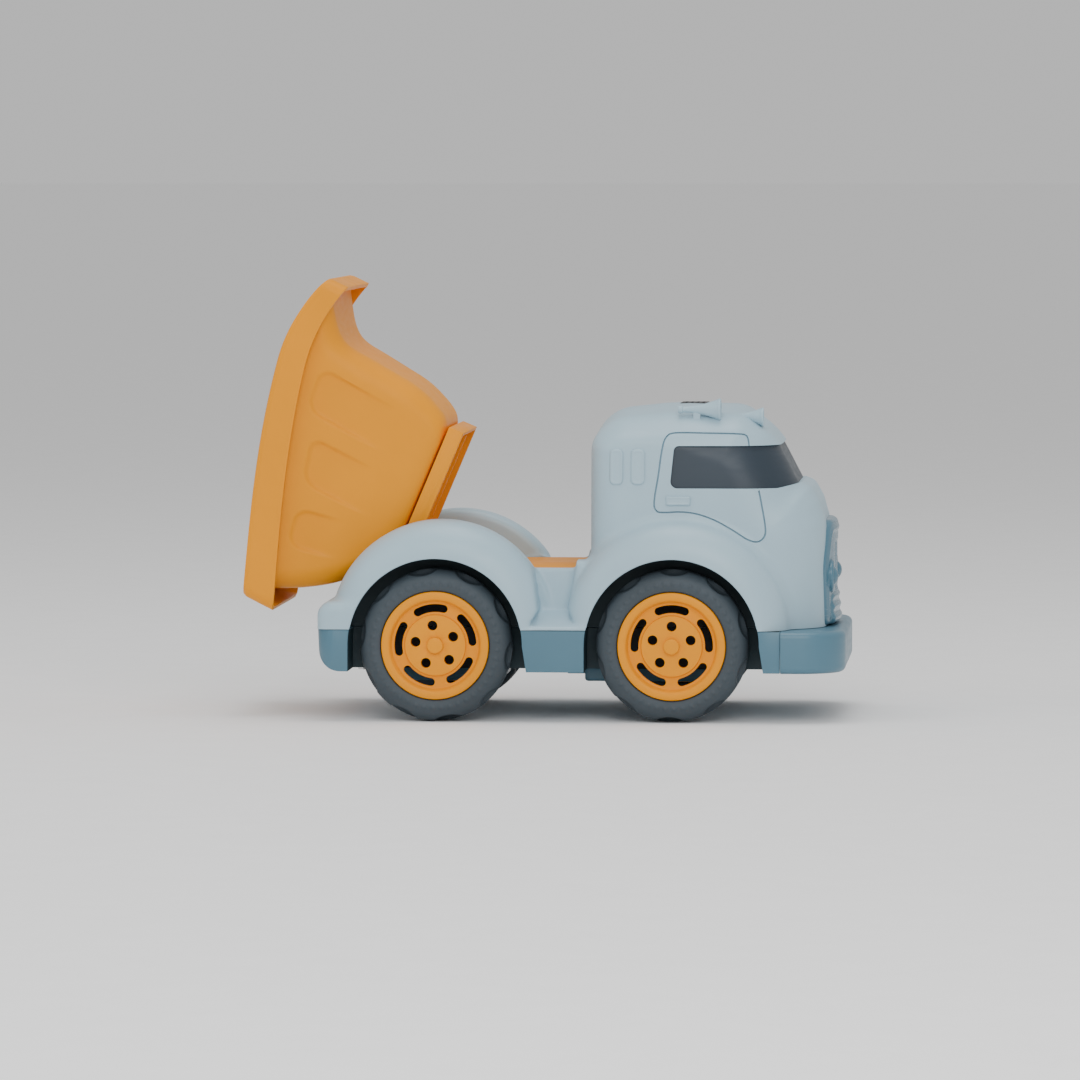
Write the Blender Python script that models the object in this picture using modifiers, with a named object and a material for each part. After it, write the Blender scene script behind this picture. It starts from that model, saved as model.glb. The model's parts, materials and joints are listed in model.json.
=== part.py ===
"""Push along toy dump truck: a moulded cab-and-fender shell on a tray, two wheelsets and a tipping bucket.

Lengths in this file are millimetres and are turned into metres as each mesh is made.
+X is the way the truck drives, +Z is up, Z = 0 is the floor and Y = 0 is the middle of the truck.
The outlines are drawn with X counted from the rear axle. ORIGIN_X moves them so that the
whole truck, with its bucket raised, is centred on the origin.
"""
import math

import bmesh
import bpy
from mathutils import Matrix, Vector

MM = 0.001
GAP = 0.3  # between pieces that touch
ORIGIN_X = -52.7

# wheels
WHEELBASE = 118.2
AXLE_Z = 38.1
TYRE_R = 38.1
TYRE_Y = (49.8, 75.4)
NOTCHES = 10
HUB_R = 27.0
AXLE_R = 2.0
BORE_R = 2.08
WHEELS = {"rear": 0.0, "front": WHEELBASE}
SIDES = {"left": 1, "right": -1}

# body
WALL = 2.5
SPLIT_Z = 45.9
SHELL_BOTTOM = SPLIT_Z + GAP / 2
SKIRT_BOTTOM = 25.1
HALF_WIDTH = 77.0
BED_HALF = 46.0
TAIL_X = -59.2
TAIL_CORNER_R = 9.0
CAB_BACK = 76.3
FENDER_R = 56.0
FENDER_OFFSET = (2.0, 6.2)
FENDER_BULGE = (17.0, 18.0)
ARCH_R = 43.7
ARCH_FLARE = 46.5
WELL_Y = BED_HALF + WALL
BUMPER_FRONT = 204.4
BUMPER_BACK = 172.5
BUMPER_CORNER_R = 24.0
BUMPER_BOTTOM = 24.8
BUMPER_WALL = 3.0
TRAY_FRONT = BUMPER_BACK - GAP
SCREW_POSTS = [(60.0, 30.0), (60.0, -30.0), (-40.0, 30.0), (-40.0, -30.0)]

# covers under the axles
GUARDS = {"rear": (-30.0, 30.0), "front": (72.0, 150.0)}
GUARD_HALF = 30.0
GUARD_BOTTOM = 17.4

# tipper
PIVOT = (-18.8, 79.0)
PIN_R = 1.5
PIN_HOLE_R = 1.6
BASE_HALF = 41.0
BASE_Z = (76.0, 84.0)
BASE_FRONT = 51.9
BUCKET_WALL = 2.0
RAISED_DEG = 67.0
DECK_TOP = BASE_Z[0] - GAP
DECK_THICK = 1.5
DECK_X = (-16.6, 69.4)
DECK_SEAT_START = 25.0  # ahead of here the plate lies in a seat cut in the shell

LIGHT_BLUE = (0.43, 0.51, 0.54)
DARK_BLUE = (0.142, 0.258, 0.316)
YELLOW = (0.68, 0.31, 0.058)
RUBBER = (0.070, 0.092, 0.107)
GLASS_BLUE = (0.078, 0.106, 0.131)
BLACK = (0.02, 0.022, 0.025)
STEEL = (0.62, 0.62, 0.63)


def clear_scene():
    for obj in list(bpy.data.objects):
        bpy.data.objects.remove(obj, do_unlink=True)


def make_collection(name):
    found = bpy.data.collections.get(name) or bpy.data.collections.new(name)
    if name not in bpy.context.scene.collection.children:
        bpy.context.scene.collection.children.link(found)
    return found


def make_material(name, colour, roughness, metallic=0.0):
    material = bpy.data.materials.new(name)
    material.use_nodes = True
    shader = material.node_tree.nodes["Principled BSDF"]
    shader.inputs["Base Color"].default_value = (*colour, 1.0)
    shader.inputs["Roughness"].default_value = roughness
    shader.inputs["Metallic"].default_value = metallic
    return material


def rounded(corners, step_deg=22.5):
    """A closed outline from corners (a, b) or (a, b, radius), with an arc at each radius."""
    points = []
    count = len(corners)
    for i, corner in enumerate(corners):
        here = Vector(corner[:2])
        radius = corner[2] if len(corner) > 2 else 0.0
        if radius <= 0.0:
            points.append(tuple(here))
            continue
        to_last = (Vector(corners[i - 1][:2]) - here).normalized()
        to_next = (Vector(corners[(i + 1) % count][:2]) - here).normalized()
        half = to_last.angle(to_next) / 2
        centre = here + (to_last + to_next).normalized() * radius / math.sin(half)
        start = here + to_last * radius / math.tan(half) - centre
        turn = math.pi - 2 * half
        if to_last.x * to_next.y - to_last.y * to_next.x > 0:
            turn = -turn
        steps = max(1, round(abs(math.degrees(turn)) / step_deg))
        for k in range(steps + 1):
            angle = turn * k / steps
            x = start.x * math.cos(angle) - start.y * math.sin(angle)
            y = start.x * math.sin(angle) + start.y * math.cos(angle)
            points.append((centre.x + x, centre.y + y))
    return points


def arc(centre, radius, start_deg, end_deg, steps):
    points = []
    for k in range(steps + 1):
        angle = math.radians(start_deg + (end_deg - start_deg) * k / steps)
        points.append((centre[0] + radius * math.cos(angle), centre[1] + radius * math.sin(angle)))
    return points


def add_object(name, bm, material=None, pivot=(0.0, 0.0, 0.0)):
    """Makes the object from a mesh in millimetres. With no material it is a cutter."""
    place = Vector(pivot) + Vector((ORIGIN_X, 0.0, 0.0))
    bmesh.ops.remove_doubles(bm, verts=bm.verts, dist=0.001)
    bmesh.ops.recalc_face_normals(bm, faces=bm.faces)
    bmesh.ops.translate(bm, verts=bm.verts, vec=-Vector(pivot))
    bmesh.ops.scale(bm, verts=bm.verts, vec=(MM, MM, MM))
    mesh = bpy.data.meshes.new(name)
    bm.to_mesh(mesh)
    bm.free()
    obj = bpy.data.objects.new(name, mesh)
    obj.location = place * MM
    if material is None:
        CUTTERS.objects.link(obj)
        obj.hide_render = True
        obj.display_type = "WIRE"
    else:
        PARTS.objects.link(obj)
        mesh.materials.append(material)
        mesh.shade_smooth()
        mesh.set_sharp_from_angle(angle=math.radians(35))
    return obj


def prism(outline, axis, low, high):
    """A closed outline pushed along an axis: (x, z) for Y, (x, y) for Z and (y, z) for X."""
    places = {
        "X": lambda a, b, c: (c, a, b),
        "Y": lambda a, b, c: (a, c, b),
        "Z": lambda a, b, c: (a, b, c),
    }
    bm = bmesh.new()
    verts = [bm.verts.new(places[axis](a, b, low)) for a, b in outline]
    face = bm.faces.new(verts)
    raised = bmesh.ops.extrude_face_region(bm, geom=[face])["geom"]
    move = [v for v in raised if isinstance(v, bmesh.types.BMVert)]
    bmesh.ops.translate(bm, verts=move, vec=places[axis](0.0, 0.0, high - low))
    return bm


def box(low, high):
    bm = bmesh.new()
    bmesh.ops.create_cube(bm, size=1.0)
    size = Vector(high) - Vector(low)
    bmesh.ops.scale(bm, verts=bm.verts, vec=size)
    bmesh.ops.translate(bm, verts=bm.verts, vec=(Vector(high) + Vector(low)) / 2)
    return bm


def cylinder(radius, length, centre, axis="Y", sides=24, top_radius=None):
    bm = bmesh.new()
    turn = {"X": Matrix.Rotation(math.pi / 2, 4, "Y"), "Y": Matrix.Rotation(-math.pi / 2, 4, "X")}
    end = radius if top_radius is None else top_radius
    bmesh.ops.create_cone(
        bm, cap_ends=True, segments=sides, radius1=radius, radius2=end, depth=length,
        matrix=Matrix.Translation(centre) @ turn.get(axis, Matrix.Identity(4)),
    )
    return bm


def turned(profile, centre, axis, sides):
    """A profile of (along, radius) points spun a full turn about X, Y or Z through centre.

    It starts and ends on the axis, or else it is closed.
    """
    along = {"X": Vector((1, 0, 0)), "Y": Vector((0, 1, 0)), "Z": Vector((0, 0, 1))}[axis]
    out = Vector((0, 0, 1)) if axis != "Z" else Vector((1, 0, 0))
    bm = bmesh.new()
    middle = Vector(centre)
    verts = [bm.verts.new(middle + along * a + out * r) for a, r in profile]
    pairs = list(zip(verts, verts[1:]))
    if profile[0][1] > 0.0:
        pairs.append((verts[-1], verts[0]))
    edges = [bm.edges.new(pair) for pair in pairs]
    bmesh.ops.spin(
        bm, geom=verts + edges, cent=middle, axis=along, angle=2 * math.pi, steps=sides, use_merge=True
    )
    return bm


def loft(rings, closed=False):
    """Skins a list of rings with the same number of points, capped at both ends unless closed."""
    bm = bmesh.new()
    rows = [[bm.verts.new(point) for point in ring] for ring in rings]
    count = len(rows[0])
    pairs = list(zip(rows, rows[1:])) + ([(rows[-1], rows[0])] if closed else [])
    for below, above in pairs:
        for i in range(count):
            j = (i + 1) % count
            bm.faces.new((below[i], below[j], above[j], above[i]))
    if not closed:
        bm.faces.new(reversed(rows[0]))
        bm.faces.new(rows[-1])
    return bm


def combine(obj, other, operation):
    step = obj.modifiers.new(f"{operation.lower()}_{other.name}"[:60], "BOOLEAN")
    step.operation = operation
    step.solver = "EXACT"
    step.object = other


def join(obj, *others):
    for other in others:
        combine(obj, other, "UNION")


def cut(obj, *others):
    for other in others:
        combine(obj, other, "DIFFERENCE")


def bevel(obj, width, segments=2, angle_deg=40.0):
    step = obj.modifiers.new("bevel", "BEVEL")
    step.width = width * MM
    step.segments = segments
    step.limit_method = "ANGLE"
    step.angle_limit = math.radians(angle_deg)


# ---------------------------------------------------------------- upper shell


def cab_section(z, back, front, half, back_r, front_r):
    """One level of the cab: a rounded outline from its back to its front."""
    corners = [
        (back, -half, back_r),
        (front, -half, front_r),
        (front, half, front_r),
        (back, half, back_r),
    ]
    return [(x, y, z) for x, y in rounded(corners, 22.5)]


def cab_rings(inset, bottom):
    """The cab's levels from its skirt to the top of its domed roof, each drawn in by inset."""
    levels = [
        (bottom, 76.3, 193.3, 60.0, 14.0, 33.0),
        (96.0, 76.3, 193.7, 60.0, 14.0, 33.0),
        (104.0, 76.3, 192.6, 60.0, 14.0, 33.0),
        (111.5, 76.3, 189.6, 59.8, 14.0, 32.0),
        (116.0, 76.3, 185.6, 59.5, 14.0, 31.0),
        (117.6, 76.3, 181.2, 59.3, 14.0, 30.0),
        (136.8, 76.4, 170.0, 58.2, 14.0, 27.0),
        (137.6, 76.5, 171.3, 58.1, 14.0, 27.0),
        (143.0, 79.0, 168.6, 55.8, 14.0, 26.0),
        (147.8, 83.2, 164.4, 51.6, 15.0, 25.0),
        (151.8, 88.2, 159.6, 44.0, 16.0, 24.0),
        (154.6, 95.0, 154.0, 33.0, 16.0, 21.0),
        (156.3, 105.0, 147.0, 20.0, 12.0, 14.0),
        (156.9, 118.0, 138.0, 8.0, 6.0, 6.0),
    ]
    rings = []
    for z, back, front, half, back_r, front_r in levels:
        if z < bottom:
            continue
        if z > 156.9 - inset:
            break
        rings.append(
            cab_section(
                z - (inset if z > bottom + 1.0 else 0.0),
                back + inset,
                front - inset,
                half - inset,
                max(back_r - inset, 3.0),
                max(front_r - inset, 3.0),
            )
        )
    return rings


def fender_centre(axle_x):
    return (axle_x + FENDER_OFFSET[0], 0.0, AXLE_Z + FENDER_OFFSET[1])


def fender_mass(name, axle_x, side, inset):
    """The round fender: a disc from the bed's side wall out, with a bulged outer edge."""
    inner = BED_HALF + inset
    outer = HALF_WIDTH - inset
    bulge_y = FENDER_BULGE[0] - inset
    bulge_r = FENDER_BULGE[1] - inset
    crown = FENDER_R - inset
    corner = 4.0 - inset
    profile = [(inner, 0.0)]
    profile += [(inner + corner + a, crown - corner + b) for a, b in arc((0, 0), corner, 180, 90, 2)]
    for k in range(4):
        angle = math.radians(90.0 - 90.0 * k / 3)
        profile.append((outer - bulge_y + bulge_y * math.cos(angle), crown - bulge_r + bulge_r * math.sin(angle)))
    profile.append((outer, 0.0))
    mirrored = [(side * a, r) for a, r in profile]
    return add_object(name, turned(mirrored, fender_centre(axle_x), "Y", 32))


def wheel_arch(name, axle_x, side):
    """The opening around a wheel: round above the axle, with a leg that flares at the front."""
    outline = arc((axle_x, AXLE_Z), ARCH_R, 0.0, 180.0, 18)
    outline += [(axle_x - ARCH_R, SKIRT_BOTTOM - 5.0), (axle_x + ARCH_FLARE, SKIRT_BOTTOM - 5.0)]
    near, far = sorted((side * WELL_Y, side * (HALF_WIDTH + 13.0)))
    return add_object(name, prism(outline, "Y", near, far))


def bed_outline(inset, bottom):
    """Side view of the bed: a ramp under the bucket's tail, and the flat deck."""
    deck = DECK_TOP - DECK_THICK - GAP
    return rounded([
        (-50.0 + inset, bottom),
        (-50.0 + inset, 59.2 - inset),
        (-24.0, 71.3 - inset),
        (-17.2 + inset, 71.3 - inset),
        (-17.2 + inset, deck - inset),
        (DECK_X[1] + 0.6, deck - inset),
        (DECK_X[1] + 0.6, DECK_TOP - inset),
        (CAB_BACK + 12.0, DECK_TOP - inset),
        (CAB_BACK + 12.0, bottom),
    ])


def side_block_outline():
    """Section across the truck between the wheels: the deck's side panel and its sloping ledge."""
    half = [(75.6, SHELL_BOTTOM - 4.0), (75.6, 47.4), (51.5, 55.4, 3.0), (48.0, DECK_TOP)]
    other = [(-corner[0], *corner[1:]) for corner in reversed(half)]
    return rounded(half + other)


def hinge_ear(name, side):
    x, z = PIVOT
    outline = arc((x, z), 4.2, 0.0, 180.0, 10) + [(x - 4.2, 68.0), (x + 4.2, 68.0)]
    near, far = sorted((side * (BASE_HALF + 0.6), side * (BED_HALF + 1.0)))
    return add_object(name, prism(outline, "Y", near, far))


def tail_block(name):
    outline = rounded([
        (TAIL_X, SHELL_BOTTOM - 5.0),
        (TAIL_X, 60.1, 7.5),
        (-44.0, 60.1),
        (-44.0, SHELL_BOTTOM - 5.0),
    ])
    return add_object(name, prism(outline, "Y", -HALF_WIDTH + 0.6, HALF_WIDTH - 0.6))


def tail_corner(name, side, low_z, high_z):
    """Rounds one vertical corner of the truck's tail."""
    edge = side * (HALF_WIDTH - 0.55)
    radius = TAIL_CORNER_R
    centre = (TAIL_X + radius, edge - side * radius)
    outline = arc(centre, radius, 180.0, 180.0 - side * 90.0, 5)
    outline += [(centre[0], edge + side * 4.0), (TAIL_X - 4.0, edge + side * 4.0), (TAIL_X - 4.0, centre[1])]
    return add_object(name, prism(outline, "Z", low_z, high_z))


def window_outline(inset):
    return rounded([
        (116.4 + inset, 116.3 + inset, 3.4),
        (230.0, 116.3 + inset),
        (230.0, 137.5 - inset),
        (118.6 + inset, 137.5 - inset, 2.6),
    ])


def make_upper_shell(material):
    shell = add_object("upper_body_shell", loft(cab_rings(0.0, SHELL_BOTTOM - 3.0)), material)
    join(shell, add_object("bed_mass", prism(bed_outline(0.0, SHELL_BOTTOM - 2.0), "Y", -BED_HALF - 1.0, BED_HALF + 1.0)))
    join(shell, add_object("side_mass", prism(side_block_outline(), "X", 30.0, 90.0)))
    join(shell, tail_block("tail_mass"))
    for end, x in WHEELS.items():
        for hand, side in SIDES.items():
            join(shell, fender_mass(f"fender_mass_{end}_{hand}", x, side, 0.0))
    cut(shell, add_object("below_split", box((-90.0, -90.0, -40.0), (230.0, 90.0, SHELL_BOTTOM))))
    for hand, side in SIDES.items():
        cut(shell, tail_corner(f"tail_corner_{hand}", side, 40.0, 70.0))
    seat = box((DECK_SEAT_START, -BED_HALF, DECK_TOP - DECK_THICK - GAP), (DECK_X[1] + 0.6, BED_HALF, 99.0))
    cut(shell, add_object("deck_seat", seat))
    cut_inside(shell)
    for end, x in WHEELS.items():
        for hand, side in SIDES.items():
            cut(shell, fender_mass(f"well_{end}_{hand}", x, side, WALL))
            cut(shell, wheel_arch(f"arch_{end}_{hand}", x, side))
    for hand, side in SIDES.items():
        join(shell, hinge_ear(f"ear_{hand}", side))
    x, z = PIVOT
    cut(shell, add_object("ear_hole", cylinder(PIN_HOLE_R, 2 * 45.9, (x, 0.0, z))))
    for index, (x, y) in enumerate(SCREW_POSTS):
        top = 72.0 if x > 0 else 59.0
        post = cylinder(3.5, top - 28.0, (x, y, (top + 28.0) / 2), "Z", 12)
        join(shell, add_object(f"post_{index}", post))
        cut(shell, add_object(f"post_hole_{index}", cylinder(1.5, 12.0, (x, y, 31.0), "Z", 12)))
    cut(shell, add_object("window_cut", prism(window_outline(0.0), "Y", -90.0, 90.0)))
    cut(shell, add_object("vent_seat", box((118.9, -9.6, 152.0), (133.3, 9.6, 170.0))))
    return shell


def cut_inside(shell):
    """Hollows the shell, leaving its walls around the cab, the bed and the fenders."""
    room = add_object("inside", loft(cab_rings(WALL, SHELL_BOTTOM - 6.0)))
    inner_bed = prism(bed_outline(WALL, SHELL_BOTTOM - 6.0), "Y", -BED_HALF + 0.5, BED_HALF - 0.5)
    join(room, add_object("inside_bed", inner_bed))
    for hand, side in SIDES.items():
        cut(room, fender_mass(f"keep_fender_{hand}", WHEELBASE, side, 0.0))
    cut(shell, room)


# ---------------------------------------------------------------- lower body


def front_plan(inset, low_z, high_z, back_x):
    """The truck's front in plan, between two heights and forward of back_x, drawn in by inset."""
    front = BUMPER_FRONT - inset
    half = HALF_WIDTH + 0.4 - inset
    corner = BUMPER_CORNER_R - inset
    plan = rounded([(back_x, -half), (front, -half, corner), (front, half, corner), (back_x, half)])
    return prism(plan, "Z", low_z, high_z)


def make_under_tray(material):
    top = SPLIT_Z - GAP / 2
    outline = rounded([
        (TAIL_X, top),
        (TRAY_FRONT, top),
        (TRAY_FRONT, SKIRT_BOTTOM),
        (TAIL_X, SKIRT_BOTTOM, 13.0),
    ])
    tray = add_object("under_tray", prism(outline, "Y", -HALF_WIDTH + 0.5, HALF_WIDTH - 0.5), material)
    join(tray, add_object("nose", front_plan(BUMPER_WALL + GAP, SKIRT_BOTTOM, top - WALL - GAP, TRAY_FRONT - 1.5)))
    cut(tray, add_object("nose_room", front_plan(BUMPER_WALL + GAP + WALL, SKIRT_BOTTOM + WALL, top, TRAY_FRONT)))
    for hand, side in SIDES.items():
        cut(tray, tail_corner(f"tray_corner_{hand}", side, 10.0, 60.0))
    hollow = rounded([
        (TAIL_X + WALL, top + 5.0),
        (TRAY_FRONT - WALL, top + 5.0),
        (TRAY_FRONT - WALL, SKIRT_BOTTOM + WALL),
        (TAIL_X + WALL, SKIRT_BOTTOM + WALL, 10.5),
    ])
    cut(tray, add_object("tray_room", prism(hollow, "Y", -BED_HALF, BED_HALF)))
    for hand, side in SIDES.items():
        near, far = sorted((side * WELL_Y, side * (HALF_WIDTH - 0.5 - WALL)))
        pocket = box((ARCH_FLARE + WALL, near, SKIRT_BOTTOM + WALL), (WHEELBASE - ARCH_R - WALL, far, top + 5.0))
        cut(tray, add_object(f"skirt_room_{hand}", pocket))
        for end, x in WHEELS.items():
            cut(tray, wheel_arch(f"tray_arch_{end}_{hand}", x, side))
            boss = cylinder(6.0, 6.0, (x, side * (BED_HALF - 2.5), AXLE_Z), sides=16)
            join(tray, add_object(f"boss_{end}_{hand}", boss))
    for end, x in WHEELS.items():
        bore = cylinder(BORE_R, 2 * HALF_WIDTH, (x, 0.0, AXLE_Z), sides=24)
        cut(tray, add_object(f"tray_bore_{end}", bore))
    for index, (x, y) in enumerate(SCREW_POSTS + guard_screws()):
        hole = cylinder(1.7, 8.0, (x, y, SKIRT_BOTTOM + 1.0), "Z", 12)
        cut(tray, add_object(f"tray_hole_{index}", hole))
    return tray


def guard_screws():
    places = []
    for low, high in GUARDS.values():
        places += [(low + 7.0, 0.0), (high - 7.0, 0.0)]
    return places


def make_axle_guard(end, material):
    """The closed cover under an axle, screwed to the tray from below."""
    low, high = GUARDS[end]
    top = SKIRT_BOTTOM - GAP
    outline = rounded([(low, top), (high, top), (high, GUARD_BOTTOM, 3.0), (low, GUARD_BOTTOM, 3.0)])
    guard = add_object(f"{end}_axle_guard", prism(outline, "Y", -GUARD_HALF, GUARD_HALF), material)
    room = box((low + 2.0, -GUARD_HALF + 2.0, GUARD_BOTTOM + 2.0), (high - 2.0, GUARD_HALF - 2.0, top + 4.0))
    cut(guard, add_object(f"{end}_guard_room", room))
    if end == "front":
        tongue = box((62.0, -10.0, 20.5), (low + 2.0, 10.0, 22.1))
        join(guard, add_object("guard_tongue", tongue))
    for index, x in enumerate((low + 7.0, high - 7.0)):
        middle = (GUARD_BOTTOM + top) / 2
        post = cylinder(4.6, top - GUARD_BOTTOM - 0.4, (x, 0.0, middle), "Z", 16)
        join(guard, add_object(f"{end}_guard_post_{index}", post))
        cut(guard, add_object(f"{end}_guard_hole_{index}", cylinder(1.7, 20.0, (x, 0.0, middle), "Z", 12)))
        sink = cylinder(3.4, 4.4, (x, 0.0, GUARD_BOTTOM + 0.2), "Z", 12)
        cut(guard, add_object(f"{end}_guard_sink_{index}", sink))
    return guard


def make_screw(name, x, y, head_z, material):
    """A pan-head screw pointing up, with a cross recess in its head."""
    screw = add_object(name, cylinder(3.0, 1.8, (x, y, head_z + 0.9), "Z", 14), material)
    shank = cylinder(1.3, 9.0, (x, y, head_z + 1.6 + 4.5), "Z", 10)
    join(screw, add_object(f"{name}_shank", shank))
    for index, size in enumerate(((2.0, 0.35), (0.35, 2.0))):
        slot = box((x - size[0], y - size[1], head_z - 1.0), (x + size[0], y + size[1], head_z + 0.8))
        cut(screw, add_object(f"{name}_slot_{index}", slot))
    return screw


def make_front_bumper(material):
    """The bumper is a cap over the tray's nose: a wrap-round wall and a flat top."""
    top = SPLIT_Z - GAP / 2
    bumper = add_object("front_bumper", front_plan(0.0, BUMPER_BOTTOM, top, BUMPER_BACK), material)
    bevel(bumper, 3.0)
    room = front_plan(BUMPER_WALL, BUMPER_BOTTOM - 9.0, top - WALL, BUMPER_BACK - 3.0)
    cut(bumper, add_object("bumper_room", room))
    return bumper


# ---------------------------------------------------------------- cab fittings


def make_grille(material):
    """The front panel: a shield with two round headlights and a fluted lower grille."""
    shield = rounded([
        (-36.0, 46.6, 6.0),
        (36.0, 46.6, 6.0),
        (40.0, 80.0, 20.0),
        (30.0, 99.2, 14.0),
        (-30.0, 99.2, 14.0),
        (-40.0, 80.0, 20.0),
    ])
    grille = add_object("front_grille", prism(shield, "X", 180.0, 205.0), material)
    radius = 150.0
    crescent = arc((198.9 - radius, 0.0), radius, -20.0, 20.0, 16) + [(240.0, 60.0), (240.0, -60.0)]
    cut(grille, add_object("grille_front", prism(crescent, "Z", 30.0, 120.0)))
    for hand, side in SIDES.items():
        lamp = cylinder(7.6, 8.0, (197.6, side * 27.0, 70.0), "X", 24, 6.4)
        join(grille, add_object(f"lamp_{hand}", lamp))
    mouth = rounded([(-24.0, 49.0, 3.0), (24.0, 49.0, 3.0), (24.0, 59.0, 3.0), (-24.0, 59.0, 3.0)])
    join(grille, add_object("mouth", prism(mouth, "X", 190.0, 201.4)))
    for index in range(7):
        y = -18.0 + 6.0 * index
        cut(grille, add_object(f"flute_{index}", box((200.2, y - 1.2, 51.0), (210.0, y + 1.2, 57.0))))
    cut(grille, add_object("grille_back", loft(cab_rings(-GAP, 30.0))))
    return grille


def make_window_band(material):
    """The dark glazing: one strip round both side windows and the windscreen."""
    band = add_object("window_band", loft(cab_rings(0.8, 90.0)), material)
    keep = add_object("glass_keep", prism(window_outline(GAP), "Y", -90.0, 90.0))
    combine(band, keep, "INTERSECT")
    cut(band, add_object("glass_core", loft(cab_rings(3.0, 90.0))))
    return band


def make_horn(name, start, length, flare, material):
    """An air horn: a small rear cap, a cone that opens forwards, and a thin flange, on a foot."""
    profile = [
        (0.0, 0.0), (0.0, 1.9), (2.2, 1.9), (2.2, 1.4), (length * 0.45, 2.1),
        (length - 3.0, flare - 1.8), (length - 1.2, flare - 0.6), (length - 1.2, flare),
        (length, flare), (length, flare - 1.0), (length - 4.0, 1.6), (length - 4.0, 0.0),
    ]
    horn = add_object(name, turned(profile, start, "X", 20), material)
    x, y, z = start
    foot = box((x + length * 0.4, y - 1.2, z - 8.0), (x + length * 0.4 + 3.0, y + 1.2, z))
    join(horn, add_object(f"{name}_foot", foot))
    cut(horn, add_object(f"{name}_roof", loft(cab_rings(-GAP, 90.0))))
    return horn


def make_roof_vent(material):
    """A dark louvred insert let into the top of the roof."""
    vent = add_object("roof_vent", box((119.2, -9.3, 152.3), (133.0, 9.3, 157.5)), material)
    cut(vent, add_object("vent_under", box((120.6, -7.9, 150.0), (131.6, 7.9, 155.6))))
    for index in range(4):
        x = 121.4 + 2.9 * index
        cut(vent, add_object(f"louvre_{index}", box((x, -7.0, 156.8), (x + 1.2, 7.0, 160.0))))
    return vent


# ---------------------------------------------------------------- wheels


def tyre_section(angle, side):
    """Half-turn shape of the tyre at one angle: notches cut its shoulders, staggered side to side."""
    inner, outer = TYRE_Y
    middle = (inner + outer) / 2
    half = (outer - inner) / 2

    def shoulder(phase):
        wave = math.cos(NOTCHES * angle + phase)
        return 2.6 * max(0.0, wave) ** 0.8

    out_dip = shoulder(0.0)
    in_dip = shoulder(math.pi)
    profile = [
        (-half + 0.8, HUB_R + GAP),
        (half - 0.8, HUB_R + GAP),
        (half, 31.0),
        (half - 2.2, 35.6 - out_dip * 0.7),
        (half - 6.2, TYRE_R - 0.2 - out_dip),
        (1.5, TYRE_R),
        (-1.5, TYRE_R),
        (-half + 6.2, TYRE_R - 0.2 - in_dip),
        (-half + 2.2, 35.6 - in_dip * 0.7),
        (-half, 31.0),
    ]
    return [
        (r * math.sin(angle), side * (middle + a), r * math.cos(angle))
        for a, r in profile
    ]


def make_tyre(name, axle_x, side, phase_deg, material):
    steps = 40
    rings = []
    for k in range(steps):
        angle = 2 * math.pi * k / steps
        ring = tyre_section(angle, side)
        turn = math.radians(phase_deg)
        rings.append([
            (x * math.cos(turn) + z * math.sin(turn), y, z * math.cos(turn) - x * math.sin(turn))
            for x, y, z in ring
        ])
    bm = loft(rings, closed=True)
    centre = (axle_x, 0.0, AXLE_Z)
    bmesh.ops.translate(bm, verts=bm.verts, vec=centre)
    return add_object(name, bm, material, centre)


def slot_outline(centre, radius, half_width, mid_deg, span_deg):
    """A curved slot with round ends, on a circle around the hub's centre."""
    low = mid_deg - span_deg / 2
    high = mid_deg + span_deg / 2
    outer = arc(centre, radius + half_width, low, high, 2)
    inner = arc(centre, radius - half_width, high, low, 2)
    ends = [
        arc((centre[0] + radius * math.cos(math.radians(a)), centre[1] + radius * math.sin(math.radians(a))),
            half_width, a + add, a + add + 180.0, 2)[1:-1]
        for a, add in ((high, 0.0), (low, 180.0))
    ]
    return outer + ends[0] + inner + ends[1]


def make_hub(name, axle_x, side, phase_deg, material):
    """A dished wheel disc in a barrel, with five curved slots and five round holes."""
    profile = [
        (50.6, HUB_R), (75.0, HUB_R), (75.4, HUB_R - 0.6), (75.4, 23.4), (74.6, 22.6), (71.2, 22.0),
        (71.2, 15.4), (73.0, 14.8), (73.0, BORE_R), (53.0, BORE_R), (53.0, 6.0), (68.6, 6.5),
        (68.6, 24.4), (50.6, 24.4),
    ]
    centre = (axle_x, 0.0, AXLE_Z)
    mirrored = [(side * a, r) for a, r in profile]
    hub = add_object(name, turned(mirrored, centre, "Y", 24), material, centre)
    near, far = sorted((side * 60.0, side * 80.0))
    for index in range(5):
        angle = phase_deg + 72.0 * index
        slot = slot_outline((axle_x, AXLE_Z), 18.6, 1.85, angle, 38.0)
        cut(hub, add_object(f"{name}_slot_{index}", prism(slot, "Y", near, far)))
        x = axle_x + 10.0 * math.cos(math.radians(angle))
        z = AXLE_Z + 10.0 * math.sin(math.radians(angle))
        hole = cylinder(2.3, far - near, (x, (near + far) / 2, z), sides=7)
        cut(hub, add_object(f"{name}_hole_{index}", hole))
    return hub


def make_wheelset(end, axle_x, phase_deg, materials):
    centre = (axle_x, 0.0, AXLE_Z)
    half = 73.6
    axle = cylinder(AXLE_R, 2 * half, centre, sides=24)
    add_object(f"{end}_axle", axle, materials["steel"], centre)
    for hand, side in SIDES.items():
        make_tyre(f"{end}_{hand}_tyre", axle_x, side, 90.0 - phase_deg, materials["rubber"])
        make_hub(f"{end}_{hand}_hub", axle_x, side, phase_deg, materials["yellow"])
        profile = [
            (half + GAP, 0.0), (half + GAP, AXLE_R + 0.1), (73.0 + GAP, AXLE_R + 0.1), (73.0 + GAP, 4.0),
            (75.0, 4.0), (75.6, 3.2), (75.6, 0.0),
        ]
        cap = turned([(side * a, r) for a, r in profile], centre, "Y", 14)
        add_object(f"{end}_{hand}_axle_cap", cap, materials["yellow"], centre)


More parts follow.
